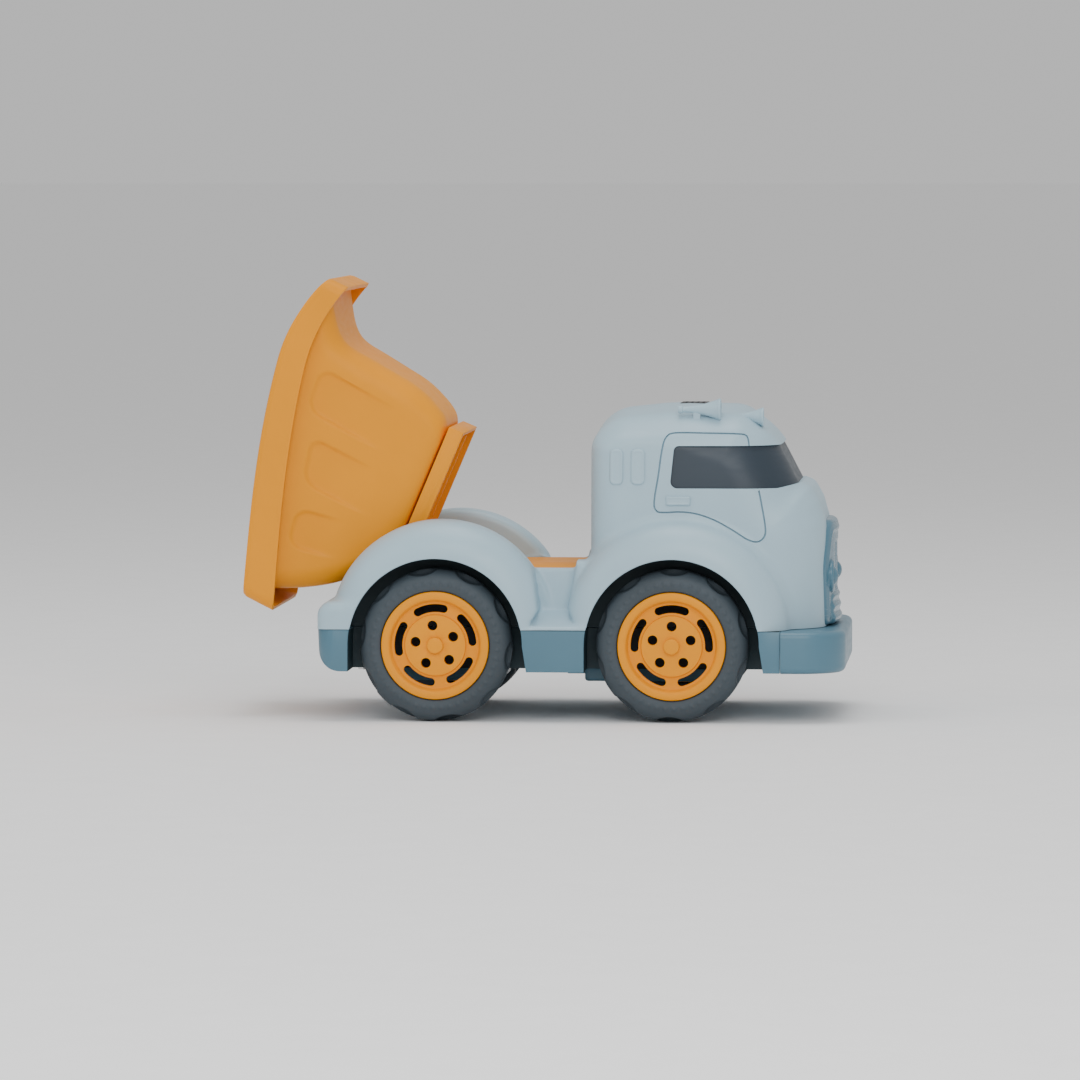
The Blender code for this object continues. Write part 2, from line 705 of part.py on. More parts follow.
# ---------------------------------------------------------------- tipper


# Levels of the bucket in its lowered place: front x and z, tail x and z, half width, corner, and rise
# of the middle of each side above the line from tail to front.
BUCKET_LEVELS = [
    (48.5, 84.3, -12.0, 84.3, 38.5, 9.0, 0.0),
    (55.6, 87.6, -21.0, 87.8, 42.2, 11.0, 0.0),
    (58.5, 92.5, -30.0, 93.2, 43.4, 11.5, 0.0),
    (61.4, 98.8, -37.4, 99.2, 44.4, 12.0, 0.0),
    (64.6, 107.7, -44.8, 107.7, 46.2, 12.0, 0.5),
    (66.4, 121.0, -52.6, 121.0, 48.8, 12.0, 2.5),
    (68.3, 134.3, -57.6, 133.0, 51.4, 12.0, 6.0),
    (69.6, 146.5, -60.6, 141.0, 53.0, 11.0, 11.0),
    (74.5, 153.6, -61.6, 143.4, 53.6, 10.0, 13.4),
    (84.0, 160.0, -62.0, 144.4, 53.9, 8.0, 13.6),
    (94.6, 166.0, -62.2, 144.6, 54.0, 5.0, 13.6),
    (95.9, 166.2, -64.0, 144.4, 56.0, 4.0, 13.6),
    (95.4, 157.2, -65.2, 129.0, 56.4, 4.0, 11.8),
]
RIM_PEAK = 0.72


def bucket_rise(share):
    """Bow of the rim between tail (0) and front (1), highest at RIM_PEAK."""
    if share < RIM_PEAK:
        return math.sin(share / RIM_PEAK * math.pi / 2)
    return max(0.0, math.cos((share - RIM_PEAK) / (1 - RIM_PEAK) * math.pi / 2)) ** 0.8


def bucket_ring(level):
    front_x, front_z, tail_x, tail_z, half, corner, rise = level
    corners = [
        (tail_x, -half, corner),
        (front_x, -half, corner),
        (front_x, half, corner),
        (tail_x, half, corner),
    ]
    plan = rounded(corners, 30.0)
    along = [k / 6 for k in range(1, 6)]
    ring = []
    for i, (x, y) in enumerate(plan):
        ring.append((x, y))
        x2, y2 = plan[(i + 1) % len(plan)]
        if abs(x2 - x) > 30.0:
            ring += [(x + (x2 - x) * t, y + (y2 - y) * t) for t in along]
    points = []
    for x, y in ring:
        share = (x - tail_x) / (front_x - tail_x)
        points.append((x, y, tail_z + (front_z - tail_z) * share + rise * bucket_rise(share)))
    return points


def raise_tipper(bm):
    """Turns a mesh built in the lowered place up to the raised one, about the pivot."""
    place = Vector((PIVOT[0], 0.0, PIVOT[1]))
    turn = Matrix.Rotation(-math.radians(RAISED_DEG), 3, "Y")
    bmesh.ops.rotate(bm, verts=bm.verts, cent=place, matrix=turn)
    return bm


def make_bucket(material):
    bm = bmesh.new()
    rows = [[bm.verts.new(p) for p in bucket_ring(level)] for level in BUCKET_LEVELS]
    count = len(rows[0])
    for below, above in zip(rows, rows[1:]):
        for i in range(count):
            j = (i + 1) % count
            bm.faces.new((below[i], below[j], above[j], above[i]))
    bm.faces.new(reversed(rows[0]))
    pivot = (PIVOT[0], 0.0, PIVOT[1])
    bucket = add_object("tipper_bucket", raise_tipper(bm), material, pivot)
    skin = bucket.modifiers.new("wall", "SOLIDIFY")
    skin.thickness = BUCKET_WALL * MM
    skin.offset = 1.0
    skin.use_even_offset = True
    return bucket


def make_tipper_base(material):
    """The bucket's underframe: a skirt open below, with the hinge barrel across its rear."""
    low, high = BASE_Z
    x, z = PIVOT
    back = x - 3.0
    top = high - GAP / 3
    outline = rounded([(back, low, 3.0), (BASE_FRONT, low), (BASE_FRONT, top), (back, top)])
    pivot = (x, 0.0, z)
    base = prism(outline, "Y", -BASE_HALF, BASE_HALF)
    base = add_object("tipper_base", raise_tipper(base), material, pivot)
    room = box((x + 3.6, -BASE_HALF + 1.8, low - 5.0), (BASE_FRONT - 1.8, BASE_HALF - 1.8, high - 2.2))
    cut(base, add_object("base_room", raise_tipper(room)))
    for index, y in enumerate((-14.0, 14.0)):
        rib = box((x + 3.0, y - 0.9, low + 1.5), (BASE_FRONT - 1.0, y + 0.9, high - 2.0))
        join(base, add_object(f"base_rib_{index}", raise_tipper(rib)))
    cut(base, add_object("base_hole", cylinder(PIN_HOLE_R, 2 * BASE_HALF + 4.0, (x, 0.0, z))))
    return base


def make_deck_plate(material):
    low = DECK_TOP - DECK_THICK
    bm = box((DECK_X[0], -BED_HALF + 0.4, low), (DECK_X[1], BED_HALF - 0.4, DECK_TOP))
    plate = add_object("deck_plate", bm, material)
    for hand, side in SIDES.items():
        x = PIVOT[0]
        near, far = sorted((side * (BASE_HALF + 0.2), side * BED_HALF))
        notch = box((x - 10.0, near, 70.0), (x + 4.8, far, 80.0))
        cut(plate, add_object(f"deck_notch_{hand}", notch))
    return plate


def make_hinge_pin(material):
    x, z = PIVOT
    return add_object("tipper_hinge_pin", cylinder(PIN_R, 2 * 45.5, (x, 0.0, z)), material)


def build():
    light = make_material("shell_light_blue", LIGHT_BLUE, 0.42)
    dark = make_material("tray_dark_blue", DARK_BLUE, 0.38)
    yellow = make_material("tipper_yellow", YELLOW, 0.40)
    rubber = make_material("tyre_rubber", RUBBER, 0.62)
    glass = make_material("window_dark_blue", GLASS_BLUE, 0.30)
    black = make_material("vent_black", BLACK, 0.50)
    steel = make_material("steel", STEEL, 0.30, 1.0)
    make_upper_shell(light)
    make_under_tray(dark)
    make_front_bumper(dark)
    make_grille(dark)
    make_window_band(glass)
    make_horn("long_horn", (119.9, -46.0, 155.4), 21.5, 5.5, light)
    make_horn("short_horn", (145.0, -38.0, 151.4), 17.5, 4.7, light)
    make_roof_vent(black)
    for end in WHEELS:
        make_axle_guard(end, dark)
    for index, (x, y) in enumerate(SCREW_POSTS):
        make_screw(f"body_screw_{index + 1}", x, y, SKIRT_BOTTOM - GAP - 1.8, steel)
    for index, (x, y) in enumerate(guard_screws()):
        make_screw(f"guard_screw_{index + 1}", x, y, GUARD_BOTTOM + 0.5, steel)
    phases = {"rear": 98.0, "front": 90.0}
    for end, x in WHEELS.items():
        make_wheelset(end, x, phases[end], {"steel": steel, "rubber": rubber, "yellow": yellow})
    make_deck_plate(yellow)
    make_hinge_pin(steel)
    make_tipper_base(yellow)
    make_bucket(yellow)


clear_scene()
PARTS = make_collection("push_along_truck")
CUTTERS = make_collection("cutters")
build()
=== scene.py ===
"""The looks of the push along dump truck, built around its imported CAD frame.

Lengths are millimetres until a mesh is made. As in the CAD, x is counted from the rear axle,
y from the middle of the truck and z from the floor, with the bucket's own shapes drawn lowered
and then turned up to rest about the hinge pin.
"""

import json
import math

import bmesh
import bpy
import numpy as np
from mathutils import Matrix, Vector
from mathutils.bvhtree import BVHTree


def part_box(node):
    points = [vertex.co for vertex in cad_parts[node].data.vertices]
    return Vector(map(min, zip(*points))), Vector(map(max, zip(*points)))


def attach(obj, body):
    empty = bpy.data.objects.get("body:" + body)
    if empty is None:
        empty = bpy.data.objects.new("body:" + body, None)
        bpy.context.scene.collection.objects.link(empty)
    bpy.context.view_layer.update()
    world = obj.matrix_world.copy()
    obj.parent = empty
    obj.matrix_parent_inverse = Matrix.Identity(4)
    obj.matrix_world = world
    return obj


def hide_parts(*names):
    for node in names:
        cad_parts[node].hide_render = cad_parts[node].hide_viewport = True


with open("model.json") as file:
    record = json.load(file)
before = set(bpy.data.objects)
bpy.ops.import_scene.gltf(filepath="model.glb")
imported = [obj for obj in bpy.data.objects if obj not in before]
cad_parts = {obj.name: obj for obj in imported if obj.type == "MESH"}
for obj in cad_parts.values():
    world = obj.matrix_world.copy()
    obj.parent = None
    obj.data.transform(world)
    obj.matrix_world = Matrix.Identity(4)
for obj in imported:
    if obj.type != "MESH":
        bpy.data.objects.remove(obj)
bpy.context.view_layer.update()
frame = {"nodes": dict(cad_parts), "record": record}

MM = 0.001


def node_centre(node):
    low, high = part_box(node)
    return (low + high) / 2


REAR_X = node_centre("rear_axle").x  # metres
WHEELBASE = (node_centre("front_axle").x - REAR_X) / MM
AXLE_Z = node_centre("rear_axle").z / MM
PIVOT = ((node_centre("tipper_hinge_pin").x - REAR_X) / MM, node_centre("tipper_hinge_pin").z / MM)
HUB_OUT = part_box("rear_left_hub")[1].y / MM
HUB_R = (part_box("rear_left_hub")[1].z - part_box("rear_left_hub")[0].z) / 2 / MM
TYRE_R = AXLE_Z
TYRE_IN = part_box("rear_left_tyre")[0].y / MM
TYRE_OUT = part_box("rear_left_tyre")[1].y / MM
HALF_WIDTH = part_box("upper_body_shell")[1].y / MM
TAIL_X = (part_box("upper_body_shell")[0].x - REAR_X) / MM
SKIRT_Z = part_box("under_tray")[0].z / MM
TRAY_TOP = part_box("front_bumper")[1].z / MM
SPLIT_Z = TRAY_TOP + 0.3
BUMPER_FRONT = (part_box("front_bumper")[1].x - REAR_X) / MM
BUMPER_BACK = (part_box("front_bumper")[0].x - REAR_X) / MM
DECK_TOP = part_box("deck_plate")[1].z / MM
RAISED_DEG = 67.0
SIDES = {"left": 1.0, "right": -1.0}
WHEELS = {"rear": 0.0, "front": WHEELBASE}

# body
WALL = 2.5
BED_HALF = 46.0
CAB_BACK = 76.3
FENDER_R = 56.0
FENDER_OFFSET = (2.0, 6.2)
FENDER_BULGE = (17.0, 18.0)
ARCH_R = 43.7
ARCH_FLARE = 46.5
WELL_Y = BED_HALF + WALL
WELL_REACH = 45.0
GLASS_INSET = 1.3
GLASS_LOW = 116.3
GLASS_HIGH = 137.5
SHELL_STEP = 1.1
# Thickness of the near-black sheet of painted shade laid inside each wheel well.
SHADE_SHEET_WALL = 0.8


# ---------------------------------------------------------------- materials


def new_material(name):
    material = bpy.data.materials.new(name)
    material.use_nodes = True
    tree = material.node_tree
    return material, tree, tree.nodes["Principled BSDF"]


def noise(tree, scale, detail=3.0, stretch=(1.0, 1.0, 1.0)):
    """A noise in the object's own space."""
    place = tree.nodes.new("ShaderNodeTexCoord")
    mapping = tree.nodes.new("ShaderNodeMapping")
    mapping.inputs["Scale"].default_value = stretch
    texture = tree.nodes.new("ShaderNodeTexNoise")
    texture.inputs["Scale"].default_value = scale
    texture.inputs["Detail"].default_value = detail
    tree.links.new(place.outputs["Object"], mapping.inputs["Vector"])
    tree.links.new(mapping.outputs["Vector"], texture.inputs["Vector"])
    return texture.outputs["Fac"]


def remap(tree, value, low, high, start=0.3, end=0.7):
    node = tree.nodes.new("ShaderNodeMapRange")
    node.inputs["From Min"].default_value = start
    node.inputs["From Max"].default_value = end
    node.inputs["To Min"].default_value = low
    node.inputs["To Max"].default_value = high
    tree.links.new(value, node.inputs["Value"])
    return node.outputs["Result"]


def shade_between(tree, value, dark, light):
    mix = tree.nodes.new("ShaderNodeMix")
    mix.data_type = "RGBA"
    mix.inputs["A"].default_value = (*dark, 1.0)
    mix.inputs["B"].default_value = (*light, 1.0)
    tree.links.new(value, mix.inputs["Factor"])
    return mix.outputs["Result"]


def scaled(colour, factor):
    return tuple(c * factor for c in colour)


def moulded(name, colour, roughness, grain=0.10, mottle=0.035, metallic=0.0, specular=0.5):
    """Moulded plastic: faint flow mottling, a fine texture, and rub marks that only change the gloss."""
    material, tree, shader = new_material(name)
    flow = remap(tree, noise(tree, 22.0, 4.0), 0.0, 1.0)
    tint = shade_between(tree, flow, scaled(colour, 1.0 - mottle), scaled(colour, 1.0 + mottle))
    tree.links.new(tint, shader.inputs["Base Color"])
    rub = noise(tree, 70.0, 5.0, (1.0, 1.0, 6.0))
    tree.links.new(remap(tree, rub, roughness - 0.045, roughness + 0.045), shader.inputs["Roughness"])
    shader.inputs["Metallic"].default_value = metallic
    shader.inputs["Specular IOR Level"].default_value = specular
    bump = tree.nodes.new("ShaderNodeBump")
    bump.inputs["Strength"].default_value = grain
    bump.inputs["Distance"].default_value = 0.00012
    tree.links.new(noise(tree, 1500.0, 2.0), bump.inputs["Height"])
    tree.links.new(bump.outputs["Normal"], shader.inputs["Normal"])
    return material


def make_materials():
    """One moulded plastic for each colour of the truck, a near-black painted shade for the insides of the
    wheel arches, and the steel of its pins and screws.
    """
    return {
        "light": moulded("shell_plastic", (0.385, 0.540, 0.622), 0.40),
        "dark": moulded("tray_plastic", (0.078, 0.180, 0.245), 0.36),
        # arch: painted shade, not a plastic of the truck. It is a near-black teal stand-in for the shade
        # inside the wheel arches, darker than the tray's own dark blue.
        "arch": moulded("arch_painted_shade", (0.014, 0.034, 0.044), 0.60),
        "grille": moulded("grille_plastic", (0.078, 0.180, 0.245), 0.24, grain=0.05),
        "yellow": moulded("tipper_plastic", (0.84, 0.305, 0.001), 0.46, specular=0.2),
        "rubber": moulded("tyre_rubber", (0.040, 0.056, 0.069), 0.60, grain=0.35, mottle=0.12),
        "glass": moulded("window_plastic", (0.022, 0.036, 0.052), 0.42, grain=0.05, mottle=0.08),
        "black": moulded("vent_plastic", (0.020, 0.022, 0.025), 0.45),
        "steel": moulded("steel", (0.60, 0.60, 0.61), 0.28, grain=0.05, mottle=0.04, metallic=1.0),
    }


# ---------------------------------------------------------------- mesh helpers


def to_row(point):
    return (point[0] * MM + REAR_X, point[1] * MM, point[2] * MM)


def mesh_object(name, verts, faces, material=None):
    """An object from points in millimetres counted from the rear axle."""
    points = np.asarray(verts, float) * MM
    points[:, 0] += REAR_X
    mesh = bpy.data.meshes.new(name)
    mesh.from_pydata(points.tolist(), [], [list(f) for f in faces])
    mesh.validate()
    obj = bpy.data.objects.new(name, mesh)
    bpy.context.scene.collection.objects.link(obj)
    if material is not None:
        mesh.materials.append(material)
    return obj


def bm_object(name, bm, material=None):
    bmesh.ops.recalc_face_normals(bm, faces=bm.faces)
    bm.verts.index_update()
    verts = [tuple(v.co) for v in bm.verts]
    faces = [[v.index for v in f.verts] for f in bm.faces]
    bm.free()
    return mesh_object(name, verts, faces, material)


def applied(obj):
    """Bakes an object's modifiers into its mesh."""
    graph = bpy.context.evaluated_depsgraph_get()
    mesh = bpy.data.meshes.new_from_object(obj.evaluated_get(graph))
    obj.modifiers.clear()
    obj.data = mesh
    return obj


def boolean(obj, others, operation="DIFFERENCE"):
    """Combines obj with each of the others in turn, and removes them."""
    for other in others:
        step = obj.modifiers.new("boolean", "BOOLEAN")
        step.operation = operation
        step.solver = "EXACT"
        step.object = other
    applied(obj)
    for other in others:
        bpy.data.objects.remove(other)
    return obj


def bevelled(obj, width, segments=3, angle_deg=35.0):
    step = obj.modifiers.new("bevel", "BEVEL")
    step.width = width * MM
    step.segments = segments
    step.limit_method = "ANGLE"
    step.angle_limit = math.radians(angle_deg)
    step.harden_normals = False
    return applied(obj)


def smooth(obj, angle_deg=32.0):
    obj.data.shade_smooth()
    obj.data.set_sharp_from_angle(angle=math.radians(angle_deg))
    return obj


def piece(obj, body, slot, *nodes, angle_deg=32.0):
    """Hands a finished mesh over: it rides on a body and stands for the CAD nodes given."""
    smooth(obj, angle_deg)
    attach(obj, body)
    if nodes:
        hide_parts(*nodes)
    return obj


def arc(centre, radius, start_deg, end_deg, steps):
    points = []
    for k in range(steps + 1):
        angle = math.radians(start_deg + (end_deg - start_deg) * k / steps)
        points.append((centre[0] + radius * math.cos(angle), centre[1] + radius * math.sin(angle)))
    return points


def rounded(corners, step_deg=7.5):
    """A closed outline from corners (a, b) or (a, b, radius), with an arc at each radius."""
    points = []
    count = len(corners)
    for i, corner in enumerate(corners):
        here = Vector(corner[:2])
        radius = corner[2] if len(corner) > 2 else 0.0
        if radius <= 0.0:
            points.append(tuple(here))
            continue
        to_last = (Vector(corners[i - 1][:2]) - here).normalized()
        to_next = (Vector(corners[(i + 1) % count][:2]) - here).normalized()
        half = to_last.angle(to_next) / 2
        centre = here + (to_last + to_next).normalized() * radius / math.sin(half)
        start = here + to_last * radius / math.tan(half) - centre
        turn = math.pi - 2 * half
        if to_last.x * to_next.y - to_last.y * to_next.x > 0:
            turn = -turn
        steps = max(1, round(abs(math.degrees(turn)) / step_deg))
        for k in range(steps + 1):
            angle = turn * k / steps
            x = start.x * math.cos(angle) - start.y * math.sin(angle)
            y = start.x * math.sin(angle) + start.y * math.cos(angle)
            points.append((centre.x + x, centre.y + y))
    return points


PLACES = {
    "X": lambda a, b, c: (c, a, b),
    "Y": lambda a, b, c: (a, c, b),
    "Z": lambda a, b, c: (a, b, c),
}


def prism(name, outline, axis, low, high, material=None):
    """A closed outline pushed along an axis: (x, z) for Y, (x, y) for Z and (y, z) for X."""
    count = len(outline)
    verts = [PLACES[axis](a, b, c) for c in (low, high) for a, b in outline]
    faces = [(i, (i + 1) % count, count + (i + 1) % count, count + i) for i in range(count)]
    faces += [tuple(reversed(range(count))), tuple(range(count, 2 * count))]
    bm = bmesh.new()
    made = [bm.verts.new(v) for v in verts]
    for face in faces:
        bm.faces.new([made[i] for i in face])
    return bm_object(name, bm, material)


def box(name, low, high, material=None):
    outline = [(low[0], low[1]), (high[0], low[1]), (high[0], high[1]), (low[0], high[1])]
    return prism(name, outline, "Z", low[2], high[2], material)


def turned(name, profile, centre, axis="Y", sides=96, material=None):
    """A profile of (along, radius) points spun about an axis. It starts and ends on it, or is closed."""
    rows = []
    for k in range(sides):
        angle = 2 * math.pi * k / sides
        rows.append((math.cos(angle), math.sin(angle)))
    bm = bmesh.new()
    rings = []
    for along, radius in profile:
        if radius <= 1e-6:
            rings.append([bm.verts.new(spun(centre, axis, along, 0.0, 0.0))])
        else:
            rings.append([bm.verts.new(spun(centre, axis, along, radius * c, radius * s)) for c, s in rows])
    pairs = list(zip(rings, rings[1:]))
    if len(rings[0]) > 1:
        pairs.append((rings[-1], rings[0]))
    for a, b in pairs:
        for i in range(sides):
            j = (i + 1) % sides
            corners = [a[i % len(a)], a[j % len(a)], b[j % len(b)], b[i % len(b)]]
            corners = [v for n, v in enumerate(corners) if v not in corners[:n]]
            if len(corners) > 2:
                bm.faces.new(corners)
    return bm_object(name, bm, material)


def spun(centre, axis, along, a, b):
    """A point given along an axis and by its two offsets from it."""
    x, y, z = centre
    if axis == "X":
        return (x + along, y + a, z + b)
    if axis == "Y":
        return (x + a, y + along, z + b)
    return (x + a, y + b, z + along)


# ---------------------------------------------------------------- distance fields


def rounded_max(a, b, radius):
    """The overlap of two solids given by their distances, with its edge rounded."""
    outside = np.hypot(np.maximum(a + radius, 0.0), np.maximum(b + radius, 0.0))
    return np.minimum(np.maximum(a, b), -radius) + outside


def rounded_min(a, b, radius):
    """The union of two solids, with a fillet of that radius where they meet."""
    return -rounded_max(-a, -b, radius)


def smooth_step(value, start, end):
    t = np.clip((value - start) / (end - start), 0.0, 1.0)
    return t * t * (3.0 - 2.0 * t)


def outline_distance(outline, u, v):
    """Signed distance, negative inside, from a closed outline to every point of a grid."""
    best = np.full(np.broadcast(u, v).shape, 1e9)
    inside = np.zeros(best.shape, bool)
    for (ax, ay), (bx, by) in zip(outline, outline[1:] + outline[:1]):
        dx, dy = bx - ax, by - ay
        t = np.clip(((u - ax) * dx + (v - ay) * dy) / max(dx * dx + dy * dy, 1e-12), 0.0, 1.0)
        best = np.minimum(best, np.hypot(u - ax - t * dx, v - ay - t * dy))
        if ay != by:
            crosses = (v < ay) != (v < by)
            inside ^= crosses & (u < ax + (v - ay) * dx / dy)
    return np.where(inside, -best, best)


CAB_PROFILE = rounded([
    (CAB_BACK, -10.0),
    (CAB_BACK, 153.2, 20.0),
    (118.0, 157.6, 90.0),
    (152.4, 156.6, 16.0),
    (165.6, 146.0, 18.0),
    (171.0, 138.3, 1.0),
    (181.0, 118.9),
    (186.2, 116.8, 5.0),
    (190.6, 109.0, 8.0),
    (193.7, 98.0, 12.0),
    (193.7, -10.0),
])
ROOF_CROWN = 0.0021
CORNER_BACK = 14.0
CORNER_FRONT = 30.0
ROOF_EDGE = 18.0


def cab_half_width(z):
    return 60.0 - 0.00084 * np.maximum(z - 90.0, 0.0) ** 2


def grid_axes(low, high, step):
    """Grid lines along each axis. Those of y are the same on both sides of the middle."""
    axes = [np.arange(low[i], high[i], step) for i in (0, 2)]
    count = int(math.ceil(high[1] / step))
    across = (np.arange(-count, count) + 0.5) * step
    return axes[0], across, axes[1]


def cab_field(x, y, z):
    """Distance to the cab's outer skin. Its roof is crowned and its corners have three radii."""
    side = outline_distance(CAB_PROFILE, x[:, None], z[None, :])
    step = z[1] - z[0]
    field = np.empty((len(x), len(y), len(z)))
    plan = CORNER_BACK + (CORNER_FRONT - CORNER_BACK) * smooth_step(x, 96.0, 150.0)
    high = smooth_step(z, 134.0, 148.0)
    radius = plan[:, None] * (1.0 - high[None, :]) + ROOF_EDGE * high[None, :]
    for j, across in enumerate(y):
        lift = ROOF_CROWN * across**2 * smooth_step(z, 132.0, 150.0)
        index = np.clip((z + lift - z[0]) / step, 0.0, len(z) - 1.001)
        low = index.astype(int)
        part = index - low
        lifted = side[:, low] * (1.0 - part) + side[:, low + 1] * part
        top = side[:, -1:] + np.maximum(z + lift - z[-1], 0.0)[None, :]
        lifted = np.where((z + lift > z[-1])[None, :], top, lifted)
        wall = abs(across) - cab_half_width(z)
        field[:, j, :] = rounded_max(lifted, wall[None, :], radius)
    return field


def fender_field(x, y, z, axle_x, inset=0.0):
    """Distance to both fenders over one axle: a thick disc whose outer edge is an ellipse."""
    r = np.hypot(x[:, None, None] - axle_x - FENDER_OFFSET[0], z[None, None, :] - AXLE_Z - FENDER_OFFSET[1])
    across = np.abs(y)[None, :, None]
    outer = HALF_WIDTH - 0.2
    wide, deep = FENDER_BULGE
    bulge = np.hypot(
        np.maximum(across - (outer - wide), 0.0) / wide,
        np.maximum(r - (FENDER_R - deep), 0.0) / deep,
    )
    crown = np.where(
        (across > outer - wide) & (r > FENDER_R - deep),
        (bulge - 1.0) * deep,
        np.maximum(r - FENDER_R, across - outer),
    )
    return rounded_max(crown + inset, BED_HALF - across + inset, max(4.0 - inset, 0.5))


def block_field(x, y, z, outline, axis, low, high, radius):
    """Distance to an outline pushed along x or y, with its end edges rounded."""
    if axis == "Y":
        flat = outline_distance(outline, x[:, None], z[None, :])[:, None, :]
        ends = np.maximum(low - y, y - high)[None, :, None]
    else:
        flat = outline_distance(outline, y[:, None], z[None, :])[None, :, :]
        ends = np.maximum(low - x, x - high)[:, None, None]
    return rounded_max(*np.broadcast_arrays(flat, ends), radius)


BED_OUTLINE = rounded([
    (-50.0, 20.0),
    (-50.0, 59.2, 2.0),
    (-24.0, 71.3, 6.0),
    (-17.2, 71.3),
    (-17.2, DECK_TOP - 1.8),
    (70.0, DECK_TOP - 1.8),
    (70.0, DECK_TOP, 0.6),
    (CAB_BACK + 12.0, DECK_TOP),
    (CAB_BACK + 12.0, 20.0),
])
SIDE_OUTLINE = rounded([
    (75.6, 20.0),
    (75.6, 47.6, 0.8),
    (51.0, 54.9, 1.5),
    (47.6, DECK_TOP, 1.2),
    (-47.6, DECK_TOP, 1.2),
    (-51.0, 54.9, 1.5),
    (-75.6, 47.6, 0.8),
    (-75.6, 20.0),
])
# The recess between the fenders, seen from the side, and the fillet body in front of it that joins
# the cab. The recess's sides lean together downwards.
RECESS_OUTLINE = [(47.6, 80.0), (51.1, 55.6), (46.0, 46.9), (71.0, 46.9), (65.5, 55.6), (69.4, 80.0)]
RECESS_FRONT = [(69.4, 80.0), (65.5, 55.6), (66.5, 48.0), (84.0, 48.0), (84.0, 80.0)]
RECESS_Y = 50.6
TAIL_OUTLINE = rounded([(TAIL_X, 20.0), (TAIL_X, 60.1, 7.5), (-36.0, 60.1), (-36.0, 20.0)])


def shell_field(x, y, z):
    """Distance to the whole upper moulding before its openings are cut."""
    cab = cab_field(x, y, z)
    body = rounded_min(cab, fender_field(x, y, z, WHEELS["front"]), 5.0)
    side = block_field(x, y, z, SIDE_OUTLINE, "X", 20.0, 100.0, 1.0)
    bed = block_field(x, y, z, BED_OUTLINE, "Y", -BED_HALF - 1.0, BED_HALF + 1.0, 0.6)
    tail = block_field(x, y, z, TAIL_OUTLINE, "Y", -HALF_WIDTH + 0.8, HALF_WIDTH - 0.8, 5.0)
    rear = rounded_min(fender_field(x, y, z, WHEELS["rear"]), tail, 2.5)
    front_side = block_field(x, y, z, RECESS_FRONT, "Y", -60.0, 60.0, 3.0)
    body = rounded_min(body, np.maximum(front_side, BED_HALF - np.abs(y)[None, :, None]), 3.0)
    body = rounded_min(body, rear, 3.0)
    recess = outline_distance(RECESS_OUTLINE, x[:, None], z[None, :])[:, None, :]
    recess = np.maximum(recess, RECESS_Y - np.abs(y)[None, :, None])
    body = rounded_max(body, -recess, 1.2)
    return np.minimum(rounded_min(body, side, 1.6), bed)


# ---------------------------------------------------------------- meshing a field


EDGES = [
    ((0, 0, 0), (1, 0, 0)), ((0, 1, 0), (1, 1, 0)), ((0, 0, 1), (1, 0, 1)), ((0, 1, 1), (1, 1, 1)),
    ((0, 0, 0), (0, 1, 0)), ((1, 0, 0), (1, 1, 0)), ((0, 0, 1), (0, 1, 1)), ((1, 0, 1), (1, 1, 1)),
    ((0, 0, 0), (0, 0, 1)), ((1, 0, 0), (1, 0, 1)), ((0, 1, 0), (0, 1, 1)), ((1, 1, 0), (1, 1, 1)),
]


def surface_nets(field, axes):
    """Vertices and quads of a field's zero surface. Each cell that it crosses gets one vertex."""
    size = [n - 1 for n in field.shape]

    def corner(offset):
        dx, dy, dz = offset
        return field[dx:dx + size[0], dy:dy + size[1], dz:dz + size[2]]

    inside = field < 0.0
    total = np.zeros((*size, 3))
    hits = np.zeros(size)
    for start, end in EDGES:
        a, b = corner(start), corner(end)
        crossed = (a < 0.0) != (b < 0.0)
        share = np.where(crossed, a / np.where(crossed, a - b, 1.0), 0.0)
        hits += crossed
        for i in range(3):
            total[..., i] += np.where(crossed, start[i] + share * (end[i] - start[i]), 0.0)
    used = hits > 0
    ids = np.full(size, -1)
    ids[used] = np.arange(used.sum())
    where = np.argwhere(used)
    step = axes[0][1] - axes[0][0]
    origin = np.array([axis[0] for axis in axes])
    verts = origin + (where + total[used] / hits[used][:, None]) * step
    faces = []
    for i in range(3):
        j, k = (i + 1) % 3, (i + 2) % 3
        ends = [slice(1, -1)] * 3
        ends[i] = slice(0, -1)
        next_ends = list(ends)
        next_ends[i] = slice(1, None)
        first, second = inside[tuple(ends)], inside[tuple(next_ends)]
        cells = np.argwhere(first != second)
        leaving = first[tuple(cells.T)]
        base = cells.copy()
        base[:, j] += 1
        base[:, k] += 1
        quad = []
        for dj, dk in ((1, 1), (0, 1), (0, 0), (1, 0)):
            cell = base.copy()
            cell[:, j] -= dj
            cell[:, k] -= dk
            quad.append(ids[tuple(cell.T)])
        quad = np.stack(quad, 1)
        quad[~leaving] = quad[~leaving][:, ::-1]
        faces.append(quad)
    return verts, np.concatenate(faces)


def sample(field, axes, points):
    """Values of a field between its grid points."""
    step = axes[0][1] - axes[0][0]
    index = (points - np.array([axis[0] for axis in axes])) / step
    low = np.clip(np.floor(index).astype(int), 0, np.array(field.shape) - 2)
    part = index - low
    value = np.zeros(len(points))
    for dx in (0, 1):
        for dy in (0, 1):
            for dz in (0, 1):
                weight = np.abs(1 - dx - part[:, 0])
                weight = weight * np.abs(1 - dy - part[:, 1]) * np.abs(1 - dz - part[:, 2])
                value += weight * field[low[:, 0] + dx, low[:, 1] + dy, low[:, 2] + dz]
    return value


def relaxed(verts, faces, rounds):
    """Evens out the vertices, each towards the middle of its neighbours."""
    a, b = faces.ravel(), np.roll(faces, -1, axis=1).ravel()
    for _ in range(rounds):
        total = np.zeros_like(verts)
        count = np.zeros(len(verts))
        for p, q in ((a, b), (b, a)):
            count += np.bincount(p, minlength=len(verts))
            for i in range(3):
                total[:, i] += np.bincount(p, weights=verts[q, i], minlength=len(verts))
        verts = verts + 0.6 * (total / count[:, None] - verts)
    return verts


